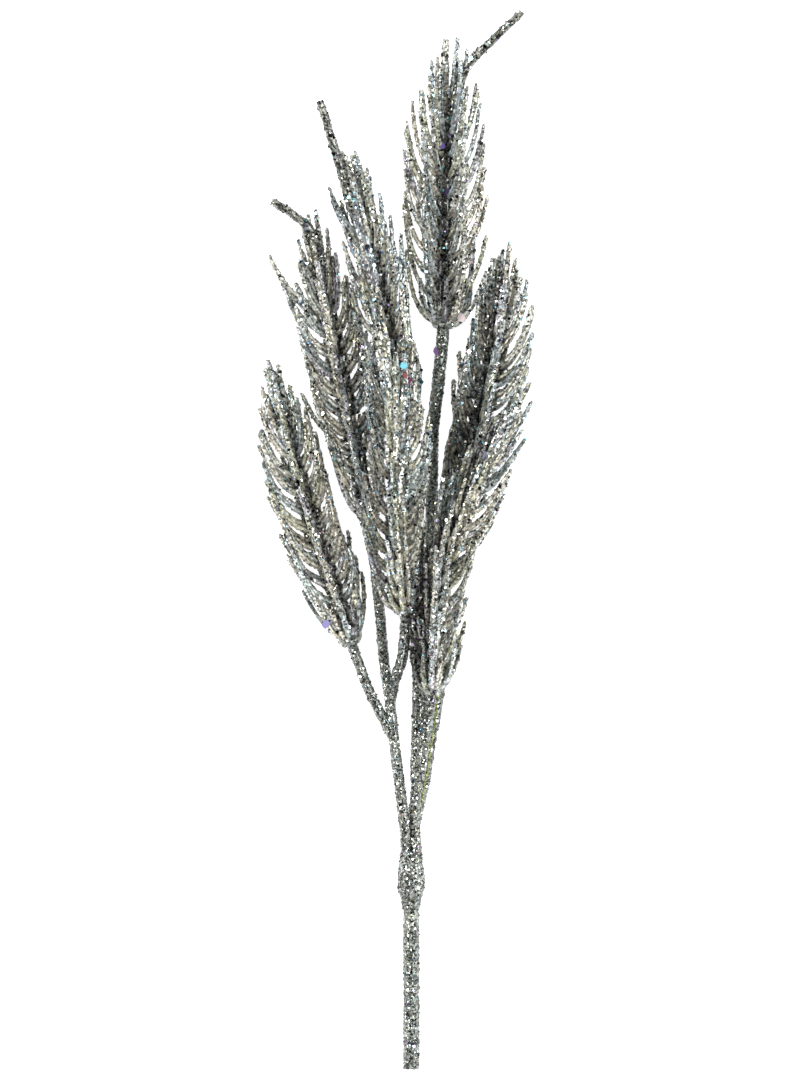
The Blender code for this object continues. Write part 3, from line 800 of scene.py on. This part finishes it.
def add_front_awns(body, name, place, angle, size, draw, routes):
    """Two awns more beside one of the front row, which make its ridge broad and uneven."""
    root, along, _ = place
    reach, rise, lift = size
    for side_sign in (-1.0, 1.0):
        turned = angle + side_sign * math.radians(draw.uniform(*FRONT_TURNS))
        outward, side = around(along, turned)
        start = root + along * draw.uniform(*FRONT_STEPS)
        own_reach = reach * draw.uniform(*REACH_SPREAD)
        line = awn_line(start, along, outward, own_reach, rise * draw.uniform(*DOUBLE_RISE), lift)
        light = painted_light_at(EARS[name], turned)
        placed = place_awn(name, line, routes)
        add_awn(body, placed, side, FRONT_WIDTH, AWN_SIDES, draw, light=light)


def add_main_awns(body, name, place, angle, size, draw, routes):
    """An awn of a whorl and, at most places at the ear's sides, a second one above it."""
    ear = EARS[name]
    root, along, spacing = place
    reach, rise, lift = size
    outward, side = around(along, angle)
    half = 0 if math.sin(angle) > 0.0 else 1
    curl = ear["curls"][half]
    light = painted_light_at(ear, angle)
    line = awn_line(root, along, outward, reach, rise, lift, curl=curl)
    add_awn(body, place_awn(name, line, routes), side, 1.0, AWN_SIDES, draw, light=light)
    beside = abs(math.sin(angle)) > SIDE_SINE and math.cos(angle) > DOUBLE_FROM
    if beside and draw.random() < ear["doubled"][half]:
        second = root + along * spacing * DOUBLE_STEP
        reach *= draw.uniform(*DOUBLE_REACH)
        reach *= FLANK_REACH if abs(math.sin(angle)) > FLANK_SINE else 1.0
        rise *= draw.uniform(*DOUBLE_RISE)
        line = awn_line(second, along, outward, reach, rise, lift, curl=curl)
        placed = place_awn(name, line, routes)
        add_awn(body, placed, side, DOUBLE_WIDTH, AWN_SIDES, draw, light=light)


def add_husk(body, ear, place, angle, reach, draw):
    """A short husk between two awns of a whorl, in painted shade, larger where a wall holds the awns back.
    """
    root, along, _ = place
    outward, side = around(along, angle)
    size = WALL_HUSK if "wall" in ear and math.sin(angle) > 0.0 else 1.0
    husk_reach = min(HUSK_REACH * size, reach) * draw.uniform(*HUSK_REACH_SPREAD)
    husk_rise = HUSK_RISE * size * draw.uniform(*HUSK_RISE_SPREAD)
    line = awn_line(root, along, outward, husk_reach, husk_rise, LIFT, HUSK_SHARES)
    add_awn(
        body, line, side, HUSK_WIDTH, HUSK_SIDES, draw,
        HUSK_SHARES, HUSK_PAINTED_SHADE, HUSK_BARENESS, painted_light_at(ear, angle),
    )


def add_scale(body, ear, place, angle, reach, draw):
    """A wide scale of the bowl at an ear's base."""
    root, along, _ = place
    outward, side = around(along, angle)
    scale_reach = reach * SCALE_REACH * draw.uniform(*SCALE_REACH_SPREAD)
    line = awn_line(root, along, outward, scale_reach, ear["rise"] * SCALE_RISE, FIRST_LIFT)
    light = painted_light_at(ear, angle)
    add_awn(body, line, side, SCALE_WIDTH, AWN_SIDES, draw, painted_shades=SCALE_PAINTED_SHADE, light=light)


def add_awns(body, name, routes):
    """The awns in their whorls, with short husks between them and wide scales at the base."""
    ear = EARS[name]
    draw = random.Random(ear["seed"])
    fill = random.Random(ear["seed"] + FILL_SEED)
    places = list(whorl_places(name))
    spacing = (places[-1][0] - places[-2][0]).length
    for number, (root, along) in enumerate(places):
        place = (root, along, spacing)
        reach = awn_reach(ear, number / (len(places) - 1)) * read_profile(ear["bowl"], number)
        lift = FIRST_LIFT if number == 0 else LIFT
        rises = TOP_RISE_SPREAD if number >= len(places) - TOP_WHORLS else RISE_SPREAD
        twins = {}
        for step in range(AWNS_PER_WHORL):
            angle = math.radians(ear["turn"] + 360 / AWNS_PER_WHORL * step)
            pair = round(math.sin(angle) * TWIN_STEPS)
            if pair not in twins:
                shift = draw.uniform(-TURN_SPREAD, TURN_SPREAD)
                twins[pair] = (shift, draw.uniform(*rises), draw.uniform(*REACH_SPREAD))
            shift, rise_share, reach_share = twins[pair]
            angle += math.radians(shift if math.cos(angle) > 0.0 else -shift)
            rise = ear["rise"] * rise_share
            add_main_awns(body, name, place, angle, (reach * reach_share, rise, lift), fill, routes)
            if math.cos(angle) > FRONT_COSINE and ear["broad"]:
                add_front_awns(body, name, place, angle, (reach, rise, lift), fill, routes)
            between = angle + math.pi / AWNS_PER_WHORL
            add_husk(body, ear, place, between, reach, fill)
            if number == 0:
                add_scale(body, ear, place, between, reach, fill)


def add_strays(body, name, routes):
    """The awns whose tips stand apart in the photograph, each bent from the core to its tip."""
    ear = EARS[name]
    axis = EAR_AXES[name]
    draw = random.Random(ear["seed"] + STRAY_SEED)
    for tip in ear["strays"]:
        tip = Vector(tip)
        near = nearest_on(axis, tip)
        index = min(range(len(axis)), key=lambda i: (axis[i] - near).length)
        along = direction_at(axis, index)
        root = nearest_on(axis, near - along * ear["rise"] * STRAY_RISE)
        rise = (tip - root).dot(along)
        out = tip - root - along * rise
        line = awn_line(root, along, out.normalized(), out.length, rise, LIFT, curl=STRAY_CURL)
        side = along.cross(out).normalized()
        placed = place_awn(name, line, routes, among=False)
        add_awn(body, placed, side, STRAY_WIDTH, AWN_SIDES, draw, light=STRAY_LIGHT)


def core_line(name):
    """The core's points and radii: a cup at the base, then a slim bar up to the last whorl."""
    axis = EAR_AXES[name]
    base = axis[0]
    along = direction_at(axis, 0)
    path = [base, base + along * CUP_AT * 0.5, base + along * CUP_AT, base + along * CUP_END]
    start = EARS[name]["stem"] + GAP + HUB_WALL
    radii = [start, (start + CUP_RADIUS) / 2.0 + CUP_BULGE, CUP_RADIUS, NECK_RADIUS]
    places = list(whorl_places(name))
    path += [root for root, _ in places[CORE_FROM:-1]]
    last, along_last = places[-1]
    path.append(last + along_last * CORE_END)
    return path, radii + [CORE_RADIUS] * (len(path) - len(radii))


def add_spike(body, name, draw):
    """The bare end of the stem, which leaves the core below the last whorl and tapers."""
    places = list(whorl_places(name))
    path = smooth_path([places[-2][0]] + EARS[name]["spike"], FINE_STEP)
    taper = (SPIKE_TIP_RADIUS - SPIKE_ROOT_RADIUS) / (len(path) - 1)
    radii = [SPIKE_ROOT_RADIUS + taper * index for index in range(len(path))]
    add_tube(body, path, radii, AWN_SIDES, draw, mark=SPIKE_MARK)


def ear_body(name, routes):
    body = Body()
    draw = random.Random(EARS[name]["seed"] + CORE_SEED)
    path, radii = core_line(name)
    add_tube(body, path, radii, CORE_SIDES, draw, CORE_COVER, CUP_RINGS)
    add_awns(body, name, routes)
    add_strays(body, name, routes)
    if "spike" in EARS[name]:
        add_spike(body, name, draw)
    return body


def add_seam(body, name, ear_name, draw):
    """The bare line along the top of a branch, where no glitter stuck."""
    branch = BRANCHES[name]
    start, end = branch["seam"]
    path = trunk_path(name) + arm_path(name, ear_name)
    lift = Vector((0.0, 0.0, branch["radius"]))
    line = [point + lift for point in path if start < point.y < end]
    rings = round_rings(line, [SEAM_RADIUS] * len(line), HUSK_SIDES, draw)
    body.add_loft(rings, [SEAM_COVER] * (len(rings) - 1), [SEAM_MARK] * HUSK_SIDES * len(rings))


def branch_body(name):
    branch = BRANCHES[name]
    draw = random.Random(branch["seed"])
    body = Body()
    path = trunk_path(name)
    radii = [ROOT_RADIUS] * 2 + [branch["radius"]] * (len(path) - 2)
    add_tube(body, path, radii, STEM_SIDES, draw)
    for ear_name in branch["arms"]:
        path = arm_path(name, ear_name)
        add_tube(body, path, [EARS[ear_name]["stem"]] * len(path), STEM_SIDES, draw)
        if "seam" in branch:
            add_seam(body, name, ear_name, draw)
    return body


def main_stem_body():
    """The main stem, whose cut end has a shallow hole round the wire."""
    draw = random.Random(STEM_SEED)
    body = Body()
    end = COLLAR_Y + TENON
    count = round((end - STEM_END_Y) / FINE_STEP)
    path = [Vector((STEM_X, STEM_END_Y + BORE_DEPTH, STEM_Z)), Vector((STEM_X, STEM_END_Y, STEM_Z))]
    radii = [BORE_RADIUS, BORE_RADIUS]
    for index in range(count + 1):
        path.append(Vector((STEM_X, STEM_END_Y + (end - STEM_END_Y) * index / count, STEM_Z)))
        radii.append(STEM_RADIUS)
    across = Vector((1.0, 0.0, 0.0))
    along = Vector((0.0, 1.0, 0.0))
    rings = [
        section_round(point, along, across, radius, radius, radius, STEM_SIDES, draw)
        for point, radius in zip(path, radii)
    ]
    body.add_loft(rings, [1.0] * (len(rings) - 1), shaded_side_marks(OPEN_MARK, STEM_SIDES) * len(rings))
    return body


def collar_body():
    """The collar's two swellings, as in the real moulding, over the roots of the branches."""
    draw = random.Random(COLLAR_SEED)
    body = Body()
    end = COLLAR_PROFILE[-1][0]
    count = round(end / FINE_STEP)
    path = [Vector((STEM_X, COLLAR_Y + end * index / count, STEM_Z)) for index in range(count + 1)]
    radii = [read_profile(COLLAR_PROFILE, end * index / count) for index in range(count + 1)]
    add_tube(body, path, radii, 2 * STEM_SIDES, draw)
    return body


def add_object(name, data):
    """A mesh, light or camera as an object in the scene."""
    obj = bpy.data.objects.new(name, data)
    bpy.context.scene.collection.objects.link(obj)
    return obj


def painted_mesh(name, corners, faces, layer, colours, material):
    """A mesh in metres with one material, and a named layer of colours at its corners."""
    mesh = bpy.data.meshes.new(name)
    mesh.from_pydata((corners * MM).tolist(), [], faces)
    paint = mesh.color_attributes.new(layer, "FLOAT_COLOR", "POINT")
    paint.data.foreach_set("color", colours.ravel())
    mesh.materials.append(material)
    return mesh


def body_object(name, body, material):
    marks = np.array(body.marks)
    mesh = painted_mesh(name, body.corner_array(), body.faces, "marks", marks, material)
    mesh.shade_smooth()
    return add_object(name, mesh)


def triangles_of(body):
    """The triangles of a body, as corner numbers, with the glitter cover of each."""
    triangles = []
    covers = []
    for face, cover in zip(body.faces, body.cover):
        for second, third in zip(face[1:], face[2:]):
            triangles.append((face[0], second, third))
            covers.append(cover)
    return np.array(triangles), np.array(covers)


def kind_of(name):
    return "ear" if name in EARS else "stem"


def scatter(body, density, draw):
    """Random spots on the surface, even by area, with the normal and the coat's tone, with its painted
    shade, at each.
    """
    triangles, covers = triangles_of(body)
    points = body.corner_array()[triangles]
    edge_a = points[:, 1] - points[:, 0]
    edge_b = points[:, 2] - points[:, 0]
    cross = np.cross(edge_a, edge_b)
    doubled = np.linalg.norm(cross, axis=1)
    weights = doubled * covers
    count = int(weights.sum() / 2.0 * density)
    chosen = draw.choice(len(triangles), count, p=weights / weights.sum())
    a = draw.random((count, 1))
    b = draw.random((count, 1))
    over = (a + b) > 1.0
    a = np.where(over, 1.0 - a, a)
    b = np.where(over, 1.0 - b, b)
    spots = points[chosen, 0] + edge_a[chosen] * a + edge_b[chosen] * b
    normals = cross[chosen] / doubled[chosen, None]
    painted_shades = np.array(body.marks)[triangles[chosen], 1].min(axis=1)
    return spots, normals, painted_shades


def coolness(name, spots):
    """The chance that a flake is from the cool colours, which changes in soft patches."""
    level = COOL_SHARES.get(name, COOL_ELSEWHERE)
    x, y, z = (spots / PATCH).T
    first = np.sin(x * WAVES[0] + WAVE_BENDS[0] * np.sin(y * FIRST_BEND))
    bend = np.sin(z * SECOND_BEND[0] + x * SECOND_BEND[1])
    second = np.sin(y * WAVES[1] + WAVE_BENDS[1] * bend)
    return np.clip(level + PATCH_DEPTH * (first * second), 0.0, 1.0)


def pick(palette, count, draw):
    """A colour for each of many flakes, from a palette of (share, colour) pairs."""
    shares = np.array([share for share, _ in palette])
    colours = np.array([colour for _, colour in palette])
    return colours[draw.choice(len(shares), count, p=shares / shares.sum())]


def unit(vectors):
    return vectors / np.linalg.norm(vectors, axis=1, keepdims=True)


def flake_corners(centres, normals, radii, sides, draw):
    """The corners of flat flakes with a given number of sides, each with a root point below."""
    count = len(centres)
    helper = unit(draw.normal(size=(count, 3)))
    across = unit(np.cross(normals, helper))
    beside = np.cross(normals, across)
    corners = np.empty((count, sides + 1, 3))
    for index in range(sides):
        angle = 2.0 * math.pi * index / sides
        reach = radii * draw.uniform(*CORNER_SPREAD, count)
        spoke = across * math.cos(angle) + beside * math.sin(angle)
        corners[:, index] = centres + spoke * reach[:, None]
    corners[:, sides] = centres - normals * (radii * FLAKE_ROOT)[:, None]
    return corners


def flake_faces(count, sides, first):
    """A flat top and slanting sides for each flake."""
    starts = first + np.arange(count) * (sides + 1)
    tops = starts[:, None] + np.arange(sides)
    faces = tops.tolist()
    for index in range(sides):
        following = (index + 1) % sides
        slants = np.stack([starts + following, starts + index, starts + sides], 1)
        faces.extend(slants.tolist())
    return faces


def sort_large_flakes(bodies):
    """Let each large flake fall on the body that lies highest at its place."""
    trees = {
        name: BVHTree.FromPolygons(body.corner_array().tolist(), body.faces)
        for name, body in bodies.items()
    }
    landed = {name: [] for name in bodies}
    for (x, y), radius, colour in LARGE_FLAKES:
        start = Vector((x, y, CAMERA_HEIGHT))
        hits = {name: tree.ray_cast(start, Vector((0.0, 0.0, -1.0))) for name, tree in trees.items()}
        heights = {name: hit[0].z for name, hit in hits.items() if hit[0]}
        if heights:
            top = max(heights, key=heights.get)
            landed[top].append((hits[top][0], radius, colour))
    return landed


class Layer:
    """A layer of flakes while it is made: its corners, faces, and colours with their shine."""

    def __init__(self):
        self.corners = []
        self.faces = []
        self.tints = []

    def add(self, corners, sides, colours, shine):
        first = sum(len(block) for block in self.corners)
        self.faces.extend(flake_faces(len(corners), sides, first))
        self.corners.append(corners.reshape(-1, 3))
        tints = np.hstack([colours, np.full((len(colours), 1), shine)])
        self.tints.append(np.repeat(tints, sides + 1, axis=0))

    def mesh(self, name, material):
        corners = np.concatenate(self.corners)
        corners[:, 2] = np.maximum(corners[:, 2], 0.0)
        return painted_mesh(name, corners, self.faces, "tint", np.concatenate(self.tints), material)


def flake_colours(name, spots, painted_shades, draw):
    """Warm and cool colours in patches, dark colours of painted shade deep among the awns, and on stems
    darkened by the coat's tone with its painted shade.
    """
    count = len(spots)
    cool = draw.random(count) < coolness(name, spots)
    picked = np.where(cool[:, None], pick(COOL_COLOURS, count, draw), pick(WARM_COLOURS, count, draw))
    # On stems, each flake is darkened by the coat's tone, which holds painted shade.
    if name not in EARS:
        return picked * painted_shades[:, None]
    # Flakes of an ear where the coat's tone is low take the colours of painted shade.
    in_painted_shade = painted_shades < PAINTED_SHADE_BELOW
    return np.where(in_painted_shade[:, None], pick(SHADED_FLAKE_COLOURS, count, draw), picked)


def add_large_flakes(layer, large, draw):
    for place, radius, colour in large:
        upward = unit(np.array([[0.0, 0.0, 1.0]]) + draw.normal(0.0, LARGE_TILT, (1, 3)))
        centre = np.array([tuple(place)]) + upward * LARGE_LIFT
        corners = flake_corners(centre, upward, np.array([radius]), LARGE_SIDES, draw)
        layer.add(corners, LARGE_SIDES, np.array([colour]), LARGE_SHINE)


def glitter_object(name, body, seed, material, large):
    """A loose layer of flakes over a body, in one mesh, with a colour for each flake."""
    draw = np.random.default_rng(seed)
    kind = kind_of(name)
    spots, normals, painted_shades = scatter(body, FLAKES_PER_AREA[kind], draw)
    count = len(spots)
    radii = FLAKE_RADIUS[kind] * np.exp(draw.normal(0.0, FLAKE_SPREAD, count))
    radii = np.clip(radii, *FLAKE_LIMITS)
    tilted = unit(normals + draw.normal(0.0, FLAKE_TILT / math.sqrt(3.0), (count, 3)))
    centres = spots + normals * (draw.uniform(*FLAKE_LIFT, count) * FLAKE_RADIUS[kind])[:, None]
    colours = flake_colours(name, spots, painted_shades, draw)
    kinds = [sides for sides, _ in FLAKE_SHAPES]
    shapes = draw.choice(kinds, count, p=[share for _, share in FLAKE_SHAPES])
    layer = Layer()
    for sides in kinds:
        mine = shapes == sides
        corners = flake_corners(centres[mine], tilted[mine], radii[mine], sides, draw)
        layer.add(corners, sides, colours[mine], 1.0)
    add_large_flakes(layer, large, draw)
    return add_object(name + "_glitter", layer.mesh(name + "_glitter", material))


def new_material(name):
    material = bpy.data.materials.new(name)
    material.use_nodes = True
    tree = material.node_tree
    return material, tree, tree.nodes["Principled BSDF"]


def ramp_of(tree, value, stops):
    """The colour that a value has on a ramp with (place, colour) stops."""
    node = tree.nodes.new("ShaderNodeValToRGB")
    elements = node.color_ramp.elements
    while len(elements) > 1:
        elements.remove(elements[-1])
    for index, (place, colour) in enumerate(stops):
        element = elements[0] if index == 0 else elements.new(place)
        element.position = place
        element.color = (*colour, 1.0)
    tree.links.new(value, node.inputs["Fac"])
    return node.outputs["Color"]


def range_of(tree, value, wanted, given=(0.0, 1.0)):
    """A value spread from a given range over a wanted one."""
    node = tree.nodes.new("ShaderNodeMapRange")
    for socket, number in zip(("From Min", "From Max", "To Min", "To Max"), given + wanted):
        node.inputs[socket].default_value = number
    tree.links.new(value, node.inputs["Value"])
    return node.outputs["Result"]


def object_places(tree):
    """The place on the object itself, so that a pattern stays with it."""
    return tree.nodes.new("ShaderNodeTexCoord").outputs["Object"]


def layer_of(tree, name):
    """The node that reads a mesh's layer of colours."""
    node = tree.nodes.new("ShaderNodeVertexColor")
    node.layer_name = name
    return node


def math_of(tree, operation, first, second):
    """A Math node, whose inputs are sockets or numbers."""
    node = tree.nodes.new("ShaderNodeMath")
    node.operation = operation
    for socket, value in zip(node.inputs, (first, second)):
        if isinstance(value, float):
            socket.default_value = value
        else:
            tree.links.new(value, socket)
    return node.outputs["Value"]


def mix_of(tree, kind, share, first, second):
    """A colour mix of two sockets. The share is a socket or a number."""
    node = tree.nodes.new("ShaderNodeMix")
    node.data_type = "RGBA"
    node.blend_type = kind
    factor, a, b = node.inputs[0], node.inputs[6], node.inputs[7]
    if isinstance(share, float):
        factor.default_value = share
    else:
        tree.links.new(share, factor)
    tree.links.new(first, a)
    tree.links.new(second, b)
    return node.outputs[2]


def coat_material(name, grain):
    """Grains of random tone and slant, from cells of a given width."""
    material, tree, shader = new_material(name)
    link = tree.links.new
    cells = tree.nodes.new("ShaderNodeTexVoronoi")
    cells.inputs["Scale"].default_value = 1.0 / (grain * MM)
    link(object_places(tree), cells.inputs["Vector"])
    split = tree.nodes.new("ShaderNodeSeparateColor")
    link(cells.outputs["Color"], split.inputs["Color"])
    marks = layer_of(tree, "marks")
    bare = math_of(tree, "MULTIPLY", marks.outputs["Alpha"], BARE_PLASTIC)
    glittered = ramp_of(tree, split.outputs["Red"], COAT_STOPS)
    plastic = ramp_of(tree, split.outputs["Red"], PLASTIC_STOPS)
    blend = mix_of(tree, "MIX", bare, glittered, plastic)
    # The marks' colour, with its painted shade and painted highlights, darkens or lightens the coat.
    link(mix_of(tree, "MULTIPLY", 1.0, blend, marks.outputs["Color"]), shader.inputs["Base Color"])
    metal = range_of(tree, split.outputs["Green"], (0.0, METAL_MOST), METAL_RANGE)
    covered = math_of(tree, "SUBTRACT", 1.0, bare)
    link(math_of(tree, "MULTIPLY", metal, covered), shader.inputs["Metallic"])
    link(range_of(tree, split.outputs["Blue"], COAT_ROUGHNESS), shader.inputs["Roughness"])
    tilt = range_of(tree, bare, (GRAIN_TILT, BARE_TILT))
    link(slanted_normal(tree, cells.outputs["Color"], tilt), shader.inputs["Normal"])
    shader.inputs["Coat Weight"].default_value = LACQUER
    shader.inputs["Coat Roughness"].default_value = LACQUER_ROUGHNESS
    return material


def slanted_normal(tree, colour, tilt):
    """The surface's normal, slanted at random by a colour, as far as the tilt says."""
    link = tree.links.new
    centred = tree.nodes.new("ShaderNodeVectorMath")
    centred.operation = "SUBTRACT"
    centred.inputs[1].default_value = (0.5, 0.5, 0.5)
    link(colour, centred.inputs[0])
    scaled = tree.nodes.new("ShaderNodeVectorMath")
    scaled.operation = "MULTIPLY_ADD"
    link(tilt, scaled.inputs[1])
    geometry = tree.nodes.new("ShaderNodeNewGeometry")
    link(centred.outputs["Vector"], scaled.inputs[0])
    link(geometry.outputs["Normal"], scaled.inputs[2])
    even = tree.nodes.new("ShaderNodeVectorMath")
    even.operation = "NORMALIZE"
    link(scaled.outputs["Vector"], even.inputs[0])
    return even.outputs["Vector"]


def flake_material(name):
    """Foil of the flake's own tint, some flakes duller than others."""
    material, tree, shader = new_material(name)
    link = tree.links.new
    tint = layer_of(tree, "tint")
    link(tint.outputs["Color"], shader.inputs["Base Color"])
    link(tint.outputs["Alpha"], shader.inputs["Metallic"])
    dull = tree.nodes.new("ShaderNodeTexNoise")
    dull.inputs["Scale"].default_value = DULL_SCALE
    link(object_places(tree), dull.inputs["Vector"])
    rough = range_of(tree, dull.outputs["Fac"], FLAKE_ROUGHNESS, DULL_RANGE)
    link(rough, shader.inputs["Roughness"])
    return material


def wire_material():
    """Drawn steel, with faint lines along it."""
    material, tree, shader = new_material("drawn_steel")
    link = tree.links.new
    stretch = tree.nodes.new("ShaderNodeMapping")
    stretch.inputs["Scale"].default_value = WIRE_SCALE
    link(object_places(tree), stretch.inputs["Vector"])
    lines = tree.nodes.new("ShaderNodeTexNoise")
    lines.inputs["Scale"].default_value = 1.0
    link(stretch.outputs["Vector"], lines.inputs["Vector"])
    link(ramp_of(tree, lines.outputs["Fac"], WIRE_STOPS), shader.inputs["Base Color"])
    shader.inputs["Metallic"].default_value = 1.0
    shader.inputs["Roughness"].default_value = WIRE_ROUGHNESS
    return material


def dress(piece, node=None):
    """Let a piece ride with the spray and, if named, stand for a node."""
    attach(piece, "root")
    if node:
        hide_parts(node)


def build_spray():
    coats = {
        "ear": coat_material("ear_coat", EAR_GRAIN),
        "stem": coat_material("stem_coat", STEM_GRAIN),
    }
    foil = flake_material("glitter_flakes")
    routes = stem_routes()
    bodies = {"main_stem": main_stem_body(), "collar": collar_body()}
    for name in BRANCHES:
        bodies[name] = branch_body(name)
    for name in EARS:
        bodies[name] = ear_body(name, routes)
    large = sort_large_flakes(bodies)
    for number, (name, body) in enumerate(bodies.items()):
        dress(body_object(name + "_form", body, coats[kind_of(name)]), name)
        dress(glitter_object(name, body, GLITTER_SEED + number, foil, large[name]))
    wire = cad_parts["stem_wire"]
    wire.data.materials.clear()
    wire.data.materials.append(wire_material())


def build_floor():
    """A plain pale floor."""
    mesh = bpy.data.meshes.new("floor")
    corners = [(x * FLOOR_SIZE, y * FLOOR_SIZE, 0.0) for x, y in ((-1, -1), (1, -1), (1, 1), (-1, 1))]
    mesh.from_pydata(corners, [], [(0, 1, 2, 3)])
    material, tree, shader = new_material("pale_floor")
    shader.inputs["Base Color"].default_value = (FLOOR_TONE, FLOOR_TONE, FLOOR_TONE, 1.0)
    shader.inputs["Roughness"].default_value = FLOOR_ROUGHNESS
    shader.inputs["Specular IOR Level"].default_value = FLOOR_GLOSS
    shader.inputs["Emission Color"].default_value = (1.0, 1.0, 1.0, 1.0)
    shader.inputs["Emission Strength"].default_value = FLOOR_GLOW
    mesh.materials.append(material)
    floor = add_object("floor", mesh)
    floor.location.z = -FLOOR_DROP
    floor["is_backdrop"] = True


def area_light(name, place, size, power, colour):
    """A soft square light that faces the spray."""
    light = bpy.data.lights.new(name, "AREA")
    light.shape = "SQUARE"
    light.size = size
    light.energy = power
    light.color = colour
    obj = add_object(name, light)
    obj.location = place
    obj.rotation_euler = (-Vector(place)).to_track_quat("-Z", "Y").to_euler()


def build_lights():
    for light in LIGHTS:
        area_light(*light)
    world = bpy.data.worlds.new("studio")
    world.use_nodes = True
    bpy.context.scene.world = world
    tree = world.node_tree
    background = tree.nodes["Background"]
    place = tree.nodes.new("ShaderNodeTexCoord")
    split = tree.nodes.new("ShaderNodeSeparateXYZ")
    tree.links.new(place.outputs["Generated"], split.inputs["Vector"])
    sky = ramp_of(tree, split.outputs["Z"], SKY_STOPS)
    tree.links.new(sky, background.inputs["Color"])
    background.inputs["Strength"].default_value = 1.0
    bpy.context.scene.view_settings.view_transform = "Standard"


def build_camera():
    """Straight down, with the photograph's framing."""
    data = bpy.data.cameras.new("camera")
    data.sensor_width = SENSOR
    data.lens = SENSOR * CAMERA_HEIGHT / (IMAGE_HEIGHT * PIXEL)
    camera = add_object("camera", data)
    camera.location = Vector((CAMERA_X, CAMERA_Y, CAMERA_HEIGHT + MIDDLE_Z)) * MM
    bpy.context.scene.camera = camera


def write_sizes():
    """The model's box as it was packed, and the box of the dressed spray."""
    boxes = {"cad": cad_box, "visual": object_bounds()}
    plain = {name: [list(corner) for corner in box] for name, box in boxes.items()}


build_camera()
build_spray()
build_floor()
build_lights()
write_sizes()
